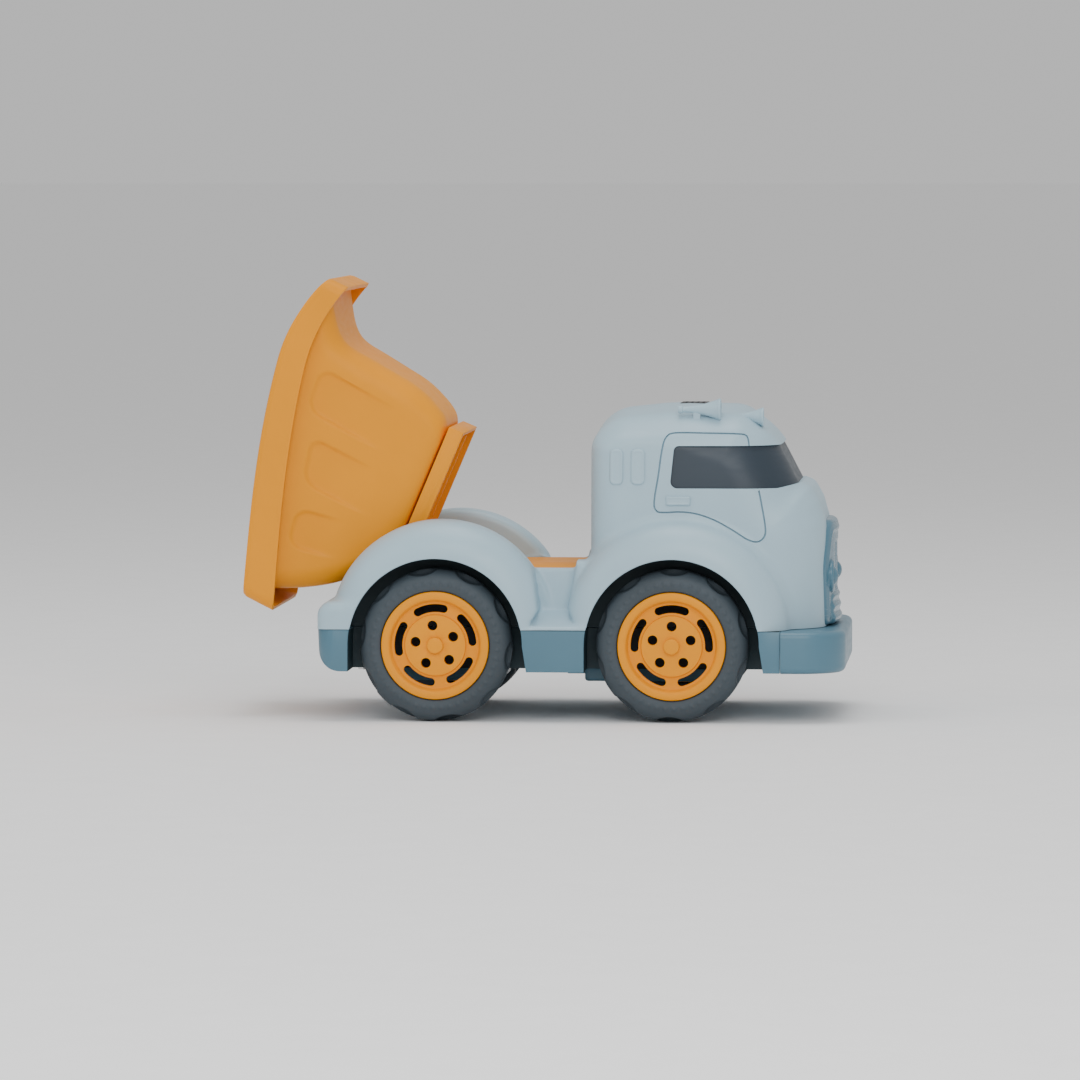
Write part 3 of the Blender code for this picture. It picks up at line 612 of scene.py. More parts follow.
def field_object(name, field, axes, material=None, rounds=3):
    """The zero surface of a field as an object, smoothed and then drawn back onto the field.

    The field is made empty at the grid's border, so that the surface is closed.
    """
    step = axes[0][1] - axes[0][0]
    for i in range(3):
        for end in (0, -1):
            border = [slice(None)] * 3
            border[i] = end
            field[tuple(border)] = np.maximum(field[tuple(border)], step / 2)
    verts, faces = surface_nets(field, axes)
    slopes = np.gradient(field, step)
    for _ in range(rounds):
        verts = relaxed(verts, faces, 2)
        value = sample(field, axes, verts)
        slope = np.stack([sample(s, axes, verts) for s in slopes], 1)
        move = slope * (value / np.maximum((slope**2).sum(1), 0.25))[:, None]
        verts = verts - np.clip(move, -step / 2, step / 2)
    return mesh_object(name, verts, faces, material)


# ---------------------------------------------------------------- upper shell


def wheel_arch(name, axle_x, side, radius=ARCH_R, depth_y=WELL_Y):
    """The solid that opens a wheel arch sideways and downwards."""
    outline = arc((axle_x, AXLE_Z), radius, 0.0, 180.0, 72)
    outline += [(axle_x - radius, SKIRT_Z - 5.0), (axle_x + radius + ARCH_FLARE - ARCH_R, SKIRT_Z - 5.0)]
    near, far = sorted((side * depth_y, side * (HALF_WIDTH + 13.0)))
    return prism(name, outline, "Y", near, far)


def wheel_well(name, axle_x, side, inset=0.0, material=None):
    """The hollow of a fender, one wall and an inset inside its outer skin."""
    inset += WALL
    inner, outer = BED_HALF + inset, HALF_WIDTH - inset
    wide, deep = FENDER_BULGE[0] - inset, FENDER_BULGE[1] - inset
    crown = FENDER_R - inset
    profile = [(inner, 0.0), (inner, crown - 1.5), (inner + 1.5, crown)]
    for k in range(9):
        angle = math.radians(90.0 - 90.0 * k / 8)
        profile.append((outer - wide + wide * math.cos(angle), crown - deep + deep * math.sin(angle)))
    profile.append((outer, 0.0))
    centre = (axle_x + FENDER_OFFSET[0], 0.0, AXLE_Z + FENDER_OFFSET[1])
    well = turned(name, [(side * a, r) for a, r in profile], centre, "Y", 96, material)
    inward = 1.0 if axle_x < CAB_BACK else -1.0
    near, far = sorted((axle_x + inward * (WELL_REACH + WALL - inset), axle_x + inward * 90.0))
    return boolean(well, [box("beyond", (near, -90.0, -40.0), (far, 90.0, 120.0))])


def window_outline(inset):
    """The side view of the window opening, drawn in by an inset. It rises towards the cowl."""
    return rounded([
        (116.4 + inset, GLASS_LOW + inset, 3.4),
        (170.0, GLASS_LOW + inset, 8.0),
        (182.0, GLASS_LOW + 2.4 + inset),
        (230.0, GLASS_LOW + 2.4 + inset),
        (230.0, GLASS_HIGH - inset),
        (118.6 + inset, GLASS_HIGH - inset, 2.6),
    ])


def skin_tree(obj):
    """A search tree over a mesh, for finding where rays meet it."""
    graph = bpy.context.evaluated_depsgraph_get()
    return BVHTree.FromObject(obj, graph)


def on_skin(tree, x, z, side):
    """Where a line across the truck first meets the shell, and which way the shell faces there."""
    start = Vector(to_row((x, side * 120.0, z)))
    place, normal, _, _ = tree.ray_cast(start, Vector((0.0, -side, 0.0)))
    if place is None:
        return None
    point = np.array([(place.x - REAR_X) / MM, place.y / MM, place.z / MM])
    return point, np.array(normal)


def even_path(points, step, closed=False):
    """A smooth path through the points, resampled at even steps."""
    pts = [np.array(p, float) for p in points]
    last = pts[0] if closed else 2 * pts[-1] - pts[-2]
    first = pts[-1] if closed else 2 * pts[0] - pts[1]
    line = [first, *pts, last] + ([pts[1]] if closed else [])
    dense = []
    for p0, p1, p2, p3 in zip(line, line[1:], line[2:], line[3:]):
        for k in range(12):
            t = k / 12
            dense.append(0.5 * (2 * p1 + (p2 - p0) * t + (2 * p0 - 5 * p1 + 4 * p2 - p3) * t**2
                                + (3 * p1 - p0 - 3 * p2 + p3) * t**3))
    dense.append(pts[0] if closed else pts[-1])
    dense = np.array(dense)
    along = np.concatenate([[0.0], np.cumsum(np.linalg.norm(np.diff(dense, axis=0), axis=1))])
    count = max(2, int(along[-1] / step))
    places = np.linspace(0.0, along[-1], count + 1)
    return np.stack([np.interp(places, along, dense[:, i]) for i in range(dense.shape[1])], 1)


def tube(name, path, radius, sides=8, closed=False, material=None, deep=None):
    """A bar along a path of points, round or, where deep is given, deeper across the truck."""
    deep = radius if deep is None else deep
    path = np.asarray(path)
    count = len(path)
    ahead = np.roll(path, -1, axis=0) - np.roll(path, 1, axis=0)
    if not closed:
        ahead[0] = path[1] - path[0]
        ahead[-1] = path[-1] - path[-2]
    ahead /= np.linalg.norm(ahead, axis=1)[:, None]
    up = np.cross(ahead, (0.0, 1.0, 0.0))
    up /= np.linalg.norm(up, axis=1)[:, None]
    out = np.cross(ahead, up)
    turns = np.linspace(0.0, 2 * math.pi, sides, endpoint=False)
    verts = [path[i] + up[i] * radius * math.cos(t) + out[i] * deep * math.sin(t)
             for i in range(count) for t in turns]
    faces = []
    for i in range(count if closed else count - 1):
        for k in range(sides):
            a, b = i * sides, (i + 1) % count * sides
            faces.append((a + k, a + (k + 1) % sides, b + (k + 1) % sides, b + k))
    if not closed:
        faces.append(tuple(range(sides)))
        faces.append(tuple(reversed(range((count - 1) * sides, count * sides))))
    bm = bmesh.new()
    made = [bm.verts.new(v) for v in verts]
    for face in faces:
        bm.faces.new([made[i] for i in face])
    return bm_object(name, bm, material)


DOOR_LINE = [
    (155.9, 136.4), (155.0, 141.4), (152.0, 143.3), (135.0, 143.8), (119.0, 143.9), (114.6, 141.9),
    (112.6, 136.0), (110.6, 122.0), (108.7, 109.6), (109.9, 105.0), (114.0, 104.3), (122.0, 104.6),
    (130.0, 103.6), (139.0, 100.5), (148.5, 95.3), (155.3, 91.0), (160.4, 89.8), (163.8, 92.4),
    (164.3, 97.0), (162.6, 107.0), (160.9, 115.4),
]


GROOVE_HALF = 0.45
GROOVE_DEPTH = 1.6
DOOR_STEP = 1.5
ROOM_STEP = 2.4
# The hollow under the bed, from below its floor up to the deck.
BED_ROOM = [(-47.5, 30.0), (-47.5, 56.7), (-23.5, 68.6), (80.0, 68.6), (80.0, 30.0)]
VENT_SEAT = ((118.9, -9.6, 152.0), (133.3, 9.6, 170.0))
DECK_SEAT = ((25.0, -BED_HALF, DECK_TOP - 1.8), (70.0, BED_HALF, 99.0))


def make_shell(materials):
    """The upper moulding: one smooth skin with its openings, hollow, doors and vents."""
    axes = grid_axes((-64.0, 0.0, 40.0), (198.0, 82.0, 161.0), SHELL_STEP)
    shell = field_object("upper_shell", shell_field(*axes), axes, materials["light"])
    tree = skin_tree(shell)
    room_axes = grid_axes((70.0, 0.0, 30.0), (198.0, 66.0, 161.0), ROOM_STEP)
    wells = fender_field(*room_axes, WHEELS["front"])
    room = field_object("room", np.maximum(cab_field(*room_axes) + WALL, -wells), room_axes)
    cutters = [box("below", (-90.0, -90.0, -40.0), (230.0, 90.0, SPLIT_Z)), room]
    cutters.append(prism("inside_bed", BED_ROOM, "Y", -BED_HALF + 0.5, BED_HALF - 0.5))
    cutters.append(prism("window", window_outline(0.0), "Y", -90.0, 90.0))
    cutters.append(box("vent_seat", *VENT_SEAT))
    cutters.append(box("deck_seat", *DECK_SEAT))
    for end, x in WHEELS.items():
        for hand, side in SIDES.items():
            well = wheel_well(f"well_{end}_{hand}", x, side)
            arch = wheel_arch(f"arch_{end}_{hand}", x, side, depth_y=WELL_Y + 1.0)
            cutters.append(boolean(well, [arch], "UNION"))
    grooves = []
    for hand, side in SIDES.items():
        line = [on_skin(tree, x, z, side)[0] for x, z in even_path(DOOR_LINE, DOOR_STEP)]
        grooves.append(tube(f"door_{hand}", line, GROOVE_HALF, deep=GROOVE_DEPTH))
    boolean(shell, grooves)
    boolean(shell, cutters)
    piece(shell, "chassis", "shell_light_blue", "upper_body_shell", angle_deg=38.0)
    return tree


def make_well_shade_sheets(materials):
    """Painted shade inside each wheel arch: a thin near-black sheet against the shell, where the wells lie in
    shade.
    """
    for end, axle_x in WHEELS.items():
        for hand, side in SIDES.items():
            # Each sheet is painted shade, a near-black stand-in for the shade in the well, not a part of the
            # truck.
            shade_sheet = wheel_well(f"well_shade_sheet_{end}_{hand}", axle_x, side, 0.1, materials["arch"])
            boolean(shade_sheet, [
                wheel_well("shade_sheet_room", axle_x, side, 0.1 + SHADE_SHEET_WALL),
                wheel_arch("shade_sheet_mouth", axle_x, side, depth_y=WELL_Y + 0.1 + SHADE_SHEET_WALL),
                box("shade_sheet_below", (-90.0, -90.0, -40.0), (230.0, 90.0, SPLIT_Z + 0.1)),
            ])
            piece(shade_sheet, "chassis", "tray_dark_blue")


LIP_R = 0.6
LIP_INSET = 0.55


def make_arch_lips(tree, materials):
    """The rolled edge round each wheel opening."""
    for end, axle_x in WHEELS.items():
        for hand, side in SIDES.items():
            path = []
            for x, z in arc((axle_x, AXLE_Z), ARCH_R + 0.3, 10.0, 170.0, 80):
                if z > SPLIT_Z + 0.8:
                    path.append(on_skin(tree, x, z, side)[0] - np.array([0.0, side * LIP_INSET, 0.0]))
            lip = tube(f"arch_lip_{end}_{hand}", path, LIP_R, 10, material=materials["light"])
            piece(lip, "chassis", "shell_light_blue", angle_deg=60.0)


RELIEF_STEP = 0.3
RELIEF_DEPTH = 1.2


def square_terms(x, z):
    """The terms of a surface of second degree over x and z."""
    return np.stack([np.ones_like(x), x, z, x * x, x * z, z * z], -1)


def relief(name, tree, side, inside_distance, low, high, height, soft, material):
    """A raised shape on the shell's side: its outline's distance is a function of x and z."""
    xs = np.arange(low[0], high[0] + RELIEF_STEP, RELIEF_STEP)
    zs = np.arange(low[1], high[1] + RELIEF_STEP, RELIEF_STEP)
    gx, gz = np.meshgrid(xs, zs, indexing="ij")
    lift = height(inside_distance(gx, gz))
    spots = [(x, z) for x in np.linspace(low[0], high[0], 6) for z in np.linspace(low[1], high[1], 6)]
    hits = np.array([on_skin(tree, x, z, side)[0] for x, z in spots])
    fit = np.linalg.lstsq(square_terms(hits[:, 0], hits[:, 2]), hits[:, 1], rcond=None)[0]
    skin = square_terms(gx, gz) @ fit
    keep = inside_distance(gx, gz) < soft
    bm = bmesh.new()
    fronts, backs = {}, {}
    for i, j in np.argwhere(keep):
        fronts[i, j] = bm.verts.new((gx[i, j], skin[i, j] + side * lift[i, j], gz[i, j]))
        backs[i, j] = bm.verts.new((gx[i, j], skin[i, j] - side * RELIEF_DEPTH, gz[i, j]))
    used = {}
    for i, j in fronts:
        cell = [(i, j), (i + 1, j), (i + 1, j + 1), (i, j + 1)]
        if all(c in fronts for c in cell):
            bm.faces.new([fronts[c] for c in cell])
            bm.faces.new([backs[c] for c in reversed(cell)])
            for a, b in zip(cell, cell[1:] + cell[:1]):
                used[a, b] = used.get((a, b), 0) + 1
    for a, b in used:
        if (b, a) not in used:
            bm.faces.new([fronts[b], fronts[a], backs[a], backs[b]])
    loose = [v for v in bm.verts if not v.link_faces]
    bmesh.ops.delete(bm, geom=loose, context="VERTS")
    return bm_object(name, bm, material)


def panel_distance(centre, half_x, half_z, corner):
    """Distance to an upright rectangle with round corners, as a function of x and z."""

    def distance(x, z):
        over_x = np.abs(x - centre[0]) - half_x + corner
        over_z = np.abs(z - centre[1]) - half_z + corner
        outside = np.hypot(np.maximum(over_x, 0.0), np.maximum(over_z, 0.0))
        return outside + np.minimum(np.maximum(over_x, over_z), 0.0) - corner

    return distance


# Raised shapes on each side of the cab: middle x and z, half sizes, corner, height and edge width.
SIDE_DETAILS = {
    "vent_rear": ((89.7, 127.0), 3.5, 9.0, 2.6, 1.15, 1.1),
    "vent_front": ((100.5, 127.0), 3.6, 9.0, 2.6, 1.15, 1.1),
    "door_handle": ((120.7, 110.1), 6.2, 2.3, 0.8, 1.5, 0.7),
}


def make_side_details(tree, materials):
    """Two raised pads behind each door and the door's handle, each a little dished inside its edge."""
    for hand, side in SIDES.items():
        for name, (centre, half_x, half_z, corner, height, edge) in SIDE_DETAILS.items():
            shape = panel_distance(centre, half_x, half_z, corner)

            def lift(d, height=height, edge=edge):
                rise = np.sqrt(np.clip(1.0 - np.clip(1.0 + d / edge, 0.0, 1.0) ** 2, 0.0, 1.0))
                return height * rise - 0.22 * smooth_step(-d, edge, edge + 0.8) - 0.3 * (d > 0.0)

            low = (centre[0] - half_x - 1.0, centre[1] - half_z - 1.0)
            high = (centre[0] + half_x + 1.0, centre[1] + half_z + 1.0)
            made = relief(f"{name}_{hand}", tree, side, shape, low, high, lift, 0.25, materials["light"])
            piece(made, "chassis", "shell_light_blue", angle_deg=70.0)


def make_window(materials):
    """The dark glazing: a strip that follows the cab's skin just inside it."""
    axes = grid_axes((110.0, 0.0, 108.0), (190.0, 66.0, 146.0), 1.0)
    field = cab_field(*axes)
    band = field_object("window_glazing", field + GLASS_INSET, axes, materials["glass"])
    core = field_object("core", field + GLASS_INSET + 2.4, axes)
    boolean(band, [core])
    keep = prism("keep", window_outline(0.15), "Y", -90.0, 90.0)
    boolean(band, [keep], "INTERSECT")
    piece(band, "chassis", "window_dark", "window_band", angle_deg=38.0)


# ---------------------------------------------------------------- lower body


def front_plan(inset, back_x):
    """The bumper's outline from above, drawn in by an inset."""
    front = BUMPER_FRONT - inset
    half = HALF_WIDTH + 0.4 - inset
    corner = 24.0 - inset
    return rounded([(back_x, -half), (front, -half, corner), (front, half, corner), (back_x, half)], 4.0)


def shade_arches(obj, material):
    """Gives the faces that line the wheel openings a near-black painted shade, the same as the sheets inside
    the wells.
    """
    obj.data.materials.append(material)
    for face in obj.data.polygons:
        x = (face.center.x - REAR_X) / MM
        y, z = abs(face.center.y) / MM, face.center.z / MM
        near = min(math.hypot(x - axle_x, z - AXLE_Z) for axle_x in WHEELS.values())
        if WELL_Y - 0.2 < y < HALF_WIDTH - 1.6 and near < ARCH_FLARE + 1.5:
            face.material_index = 1


TAIL_CORNER = 11.0
TAIL_PLAN_R = 9.0


def make_tray(materials):
    """The darker skirt below the parting line, with the wheel openings through it."""
    front = BUMPER_BACK - 0.3
    outline = rounded([
        (TAIL_X, TRAY_TOP), (front, TRAY_TOP), (front, SKIRT_Z), (TAIL_X + 1.5, SKIRT_Z, TAIL_CORNER),
    ])
    tray = prism("under_skirt", outline, "Y", -HALF_WIDTH + 0.5, HALF_WIDTH - 0.5, materials["dark"])
    hollow = rounded([
        (TAIL_X + WALL, TRAY_TOP + 5.0), (front - WALL, TRAY_TOP + 5.0),
        (front - WALL, SKIRT_Z + WALL), (TAIL_X + WALL, SKIRT_Z + WALL, TAIL_CORNER - 0.5),
    ])
    cutters = [prism("tray_room", hollow, "Y", -BED_HALF, BED_HALF)]
    for hand, side in SIDES.items():
        edge = side * (HALF_WIDTH - 0.45)
        inner = edge - side * TAIL_PLAN_R
        outer = edge + side * 4.0
        corner = arc((TAIL_X + TAIL_PLAN_R, inner), TAIL_PLAN_R, 180.0, 180.0 - side * 90.0, 14)
        corner += [(TAIL_X + TAIL_PLAN_R, outer), (TAIL_X - 4.0, outer), (TAIL_X - 4.0, inner)]
        cutters.append(prism(f"corner_{hand}", corner, "Z", 10.0, 60.0))
        near, far = sorted((side * WELL_Y, side * (HALF_WIDTH - 0.5 - WALL)))
        cutters.append(box(f"skirt_room_{hand}", (ARCH_FLARE + WALL, near, SKIRT_Z + WALL),
                           (WHEELBASE - ARCH_R - WALL, far, TRAY_TOP + 5.0)))
        for end, x in WHEELS.items():
            cutters.append(wheel_arch(f"tray_arch_{end}_{hand}", x, side))
    boolean(tray, cutters)
    bevelled(tray, 0.6, 2)
    # Painted shade on the tray's faces inside the wheel openings.
    shade_arches(tray, materials["arch"])
    piece(tray, "chassis", "tray_dark_blue", "under_tray")


def make_bumper(materials):
    """The wrap-round bumper: softly rounded above and below."""
    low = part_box("front_bumper")[0].z / MM
    bumper = prism("bumper", front_plan(0.0, BUMPER_BACK - 20.0), "Z", low, TRAY_TOP, materials["dark"])
    bevelled(bumper, 3.2, 6)
    behind = box("behind", (BUMPER_BACK - 40.0, -90.0, 0.0), (BUMPER_BACK, 90.0, 60.0))
    room = prism("bumper_room", front_plan(3.0, BUMPER_BACK - 3.0), "Z", low - 9.0, TRAY_TOP - WALL)
    boolean(bumper, [behind, room])
    piece(bumper, "chassis", "tray_dark_blue", "front_bumper")


TONGUE = 10.0
SINK_R = 3.4
SINK_DEPTH = 2.4


def make_under_parts(materials):
    """The two covers below the axles, softened, and their screws and the rest in plain CAD shapes."""
    for end in ("rear", "front"):
        low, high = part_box(f"{end}_axle_guard")
        lo = [(low.x - REAR_X) / MM, low.y / MM, low.z / MM]
        hi = [(high.x - REAR_X) / MM, high.y / MM, high.z / MM]
        if end == "front":
            lo[0] += TONGUE
        cover = box(f"{end}_cover", lo, hi, materials["dark"])
        bevelled(cover, 1.6, 4)
        holes = []
        for x in (lo[0] + 7.0, hi[0] - 7.0):
            below, top = lo[2] - 2.0, lo[2] + SINK_DEPTH
            sink = [(below, 0.0), (below, SINK_R), (top, SINK_R), (top, 0.0)]
            holes.append(turned("sink", sink, (x, 0.0, 0.0), "Z", 48))
        boolean(cover, holes)
        if end == "front":
            tongue = box("tongue", (lo[0] - TONGUE, -TONGUE, lo[2] + 2.4), (lo[0] + 2.0, TONGUE, lo[2] + 4.2))
            boolean(cover, [tongue], "UNION")
        piece(cover, "chassis", "tray_dark_blue", f"{end}_axle_guard")


def make_deck(materials):
    """The plate between the fenders, with notches for the hinge ears."""
    low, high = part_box("deck_plate")
    start, end = (low.x - REAR_X) / MM, (high.x - REAR_X) / MM
    half = high.y / MM
    plate = box("deck", (start, -half, low.z / MM), (end, half, DECK_TOP), materials["yellow"])
    notches = []
    for side in SIDES.values():
        near, far = sorted((side * 41.2, side * 50.0))
        notches.append(box("notch", (PIVOT[0] - 10.0, near, 60.0), (PIVOT[0] + 4.8, far, 90.0)))
    boolean(plate, notches)
    bevelled(plate, 0.35, 2)
    piece(plate, "chassis", "tipper_yellow", "deck_plate")


PIN_R = 1.6
PIN_BORE = [(-60.0, 0.0), (-60.0, PIN_R), (60.0, PIN_R), (60.0, 0.0)]
EAR_R = 4.2
EAR_Y = (41.6, 47.4)


def make_hinge_ears(materials):
    """The shell's two ears that carry the hinge pin."""
    x, z = PIVOT
    for hand, side in SIDES.items():
        outline = arc((x, z), EAR_R, 0.0, 180.0, 24) + [(x - EAR_R, 67.0), (x + EAR_R, 67.0)]
        near, far = sorted((side * EAR_Y[0], side * EAR_Y[1]))
        ear = prism(f"hinge_ear_{hand}", outline, "Y", near, far, materials["light"])
        boolean(ear, [turned("pin_hole", PIN_BORE, (x, 0.0, z), "Y", 32)])
        piece(ear, "chassis", "shell_light_blue")


# ---------------------------------------------------------------- cab fittings


GRILLE_STEP = 0.55
GRILLE_OUTLINE = rounded([
    (-36.0, 46.4, 4.0), (36.0, 46.4, 4.0), (39.5, 78.0, 20.0), (29.0, 99.2, 13.0),
    (-29.0, 99.2, 13.0), (-39.5, 78.0, 20.0),
])
GRILLE_FACE = 198.7
MOUTH_OUTLINE = rounded([(-28.0, 47.0, 3.0), (28.0, 47.0, 3.0), (28.0, 62.0, 5.0), (-28.0, 62.0, 5.0)])
MOUTH_FACE = 200.6
LAMP_Y = 27.0
LAMP_Z = 71.0
LAMP_R = 5.6
LAMP_RING_R = 6.9
BAR_PITCH = 7.2
RIB_PITCH = 5.5
RIB_Z = 55.6


def make_grille(materials):
    """The front panel: a bowed shield with two domed lamps in rings and a fluted lower part."""
    axes = grid_axes((188.0, 0.0, 44.0), (205.0, 43.0, 102.0), GRILLE_STEP)
    x, y, z = axes[0][:, None, None], axes[1][None, :, None], axes[2][None, None, :]
    plate = outline_distance(GRILLE_OUTLINE, axes[1][:, None], axes[2][None, :])[None, :, :]
    bow = x - (GRILLE_FACE - y**2 / 300.0)
    bars = 0.25 * np.cos(y * 2.0 * math.pi / BAR_PITCH)
    inner = smooth_step(-np.maximum(np.abs(y) - 17.0, np.abs(z - 76.0) - 13.0), 0.0, 1.6)
    field = rounded_max(plate + 0.0 * x, bow + (0.6 - bars) * inner, 2.6)
    frame_line = np.abs(plate + 4.6) - 1.0
    field = rounded_min(field, rounded_max(frame_line + 0.0 * x, bow - 0.3, 0.8), 1.2)
    for side in SIDES.values():
        reach = np.hypot(y - side * LAMP_Y, z - LAMP_Z)
        ring = np.hypot(reach - LAMP_RING_R, x - 196.4) - 1.3
        dome = np.hypot(reach, x - 194.3) - LAMP_R
        field = rounded_min(field, np.minimum(ring, dome), 0.5)
    ribs = 0.5 * np.cos((z - RIB_Z) * 2.0 * math.pi / RIB_PITCH)
    lower = outline_distance(MOUTH_OUTLINE, axes[1][:, None], axes[2][None, :])[None, :, :]
    face = x - MOUTH_FACE + y**2 / 330.0 + 0.1 * (z - 47.0) - ribs
    field = rounded_min(field, rounded_max(lower + 0.0 * x, face, 1.6), 1.2)
    behind = cab_field(*axes) + 1.2
    grille = field_object("grille", np.maximum(field, -behind), axes, materials["grille"], rounds=4)
    piece(grille, "chassis", "grille_blue", "front_grille", angle_deg=50.0)


# Each horn: where its rear cap starts, its length and the radius of its rim.
HORNS = {
    "long": ((119.9, -46.0, 155.4), 21.5, 5.5),
    "short": ((145.0, -38.0, 151.4), 17.5, 4.7),
}


def make_horn(name, start, length, flare, node, materials):
    """An air horn: a rear cap, a flared bell that opens forwards and a thin rim, on a foot."""
    bell = [(2.6, 1.5)]
    for k in range(1, 13):
        t = k / 12
        bell.append((2.6 + (length - 3.9) * t, 1.5 + (flare - 2.3) * t**2.2 + 0.6 * t))
    profile = [(0.0, 0.0), (0.0, 1.6), (0.3, 1.95), (2.1, 1.95), (2.3, 1.6)] + bell
    profile += [
        (length - 1.2, flare - 0.1), (length - 1.0, flare), (length - 0.2, flare), (length, flare - 0.2),
        (length, flare - 0.8), (length - 1.6, flare - 1.6), (length - 5.0, 1.4), (length - 5.0, 0.0),
    ]
    horn = turned(name, profile, start, "X", 64, materials["light"])
    x, y, z = start
    foot = box("foot", (x + length * 0.36, y - 1.2, z - 8.0), (x + length * 0.36 + 3.4, y + 1.2, z))
    boolean(horn, [foot], "UNION")
    piece(horn, "chassis", "shell_light_blue", node, angle_deg=40.0)


LOUVRES = 4
LOUVRE_PITCH = 2.9
LOUVRE_WIDTH = 1.3
LOUVRE_HALF = 7.4


def make_vent(materials):
    """The dark roof insert, with a row of slots across it."""
    low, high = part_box("roof_vent")
    x0, x1 = (low.x - REAR_X) / MM, (high.x - REAR_X) / MM
    vent = box("vent", (x0, low.y / MM, low.z / MM), (x1, high.y / MM, high.z / MM), materials["black"])
    bevelled(vent, 0.5, 3)
    slots = []
    top = high.z / MM
    for index in range(LOUVRES):
        x = x0 + 2.0 + LOUVRE_PITCH * index
        slots.append(box("louvre", (x, -LOUVRE_HALF, top - 0.8), (x + LOUVRE_WIDTH, LOUVRE_HALF, top + 3.0)))
    boolean(vent, slots)
    piece(vent, "chassis", "vent_black", "roof_vent")


# ---------------------------------------------------------------- wheels


NOTCHES = 10
NOTCH_HALF_DEG = 11.0
NOTCH_DEPTH = 2.8
RIDGE_HALF = 1.6
TYRE_PHASE = {"rear": 100.0, "front": 88.5}
HUB_PHASE = {"rear": 98.0, "front": 90.0}
TYRE_SIDES = 360
DASHES = 45
DASH_HEIGHT = 0.4
HUB_HOLES = 5
SLOT_R = 18.6
SLOT_HALF = 2.0
SLOT_SPAN_DEG = 41.5
HOLE_CIRCLE = 10.0
HOLE_R = 2.5
CAP_R = 4.0
CAP_EDGE = 0.7


def notch_depth(angle_deg):
    """How far a scallop cuts into the tyre's shoulder, at an angle from the middle of one."""
    pitch = 360.0 / NOTCHES
    away = np.abs((angle_deg + pitch / 2) % pitch - pitch / 2) / NOTCH_HALF_DEG
    return NOTCH_DEPTH * np.clip(1.0 - away**2, 0.0, 1.0) ** 0.7


def tyre_profile():
    """Section of the tyre from its bead round the tread: across from the middle, and radius."""
    half = (TYRE_OUT - TYRE_IN) / 2
    side = even_path([
        (half - 1.8, HUB_R + 0.35), (half - 0.6, HUB_R + 0.5), (half, 30.0), (half - 0.2, 32.2),
        (half - 1.2, 34.6), (half - 3.0, 36.6), (half - 5.2, 37.7), (half - 8.0, TYRE_R - 0.05),
        (0.0, TYRE_R),
    ], 0.7)
    return np.concatenate([side, (side * [-1.0, 1.0])[::-1][1:]])


def make_tyre(name, axle_x, side, phase_deg, node, materials):
    """A rubber tyre with scalloped shoulders, staggered from side to side, and moulded dashes."""
    section = tyre_profile()
    half = (TYRE_OUT - TYRE_IN) / 2
    middle = (TYRE_IN + TYRE_OUT) / 2
    degrees = np.arange(TYRE_SIDES) * 360.0 / TYRE_SIDES
    across, radius = section[:, 0][None, :], section[:, 1][None, :]
    shoulder = smooth_step(np.abs(across), RIDGE_HALF, RIDGE_HALF + 1.0)
    turn = np.where(across > 0.0, 0.0, 180.0 / NOTCHES)
    floor = TYRE_R - notch_depth(degrees[:, None] + turn) * shoulder
    dashes = smooth_step(np.cos(np.radians(degrees[:, None] * DASHES)), 0.0, 0.4)
    dashes = dashes * smooth_step(radius, 30.3, 30.6) * (1.0 - smooth_step(radius, 32.0, 32.4))
    dashes = DASH_HEIGHT * dashes * (across > half - 3.0)
    angle = np.radians(degrees[:, None] + phase_deg)
    r = np.minimum(radius, floor)
    x = axle_x + r * np.cos(angle)
    z = AXLE_Z + r * np.sin(angle)
    y = side * (middle + across + dashes) + 0.0 * x
    verts = np.stack([x, y, z], -1).reshape(-1, 3)
    count = section.shape[0]
    faces = []
    for i in range(TYRE_SIDES):
        a, b = i * count, (i + 1) % TYRE_SIDES * count
        for k in range(count):
            n = (k + 1) % count
            faces.append((a + k, a + n, b + n, b + k))
    tyre = mesh_object(name, verts, faces, materials["rubber"])
    recalculated(tyre)
    piece(tyre, node.rsplit("_", 2)[0] + "_wheelset", "tyre_rubber", node, angle_deg=60.0)


def recalculated(obj):
    """Turns all faces of a closed mesh to point outwards."""
    bm = bmesh.new()
    bm.from_mesh(obj.data)
    bmesh.ops.recalc_face_normals(bm, faces=bm.faces)
    bm.to_mesh(obj.data)
    bm.free()


def slot_outline(centre, radius, half_width, mid_deg, span_deg):
    """A curved slot with round ends, on a circle around the hub's centre."""
    low, high = mid_deg - span_deg / 2, mid_deg + span_deg / 2
    ends = []
    for a, add in ((high, 0.0), (low, 180.0)):
        turn = math.radians(a)
        spot = (centre[0] + radius * math.cos(turn), centre[1] + radius * math.sin(turn))
        ends.append(arc(spot, half_width, a + add, a + add + 180.0, 12)[1:-1])
    outer = arc(centre, radius + half_width, low, high, 16)
    inner = arc(centre, radius - half_width, high, low, 16)
    return outer + ends[0] + inner + ends[1]


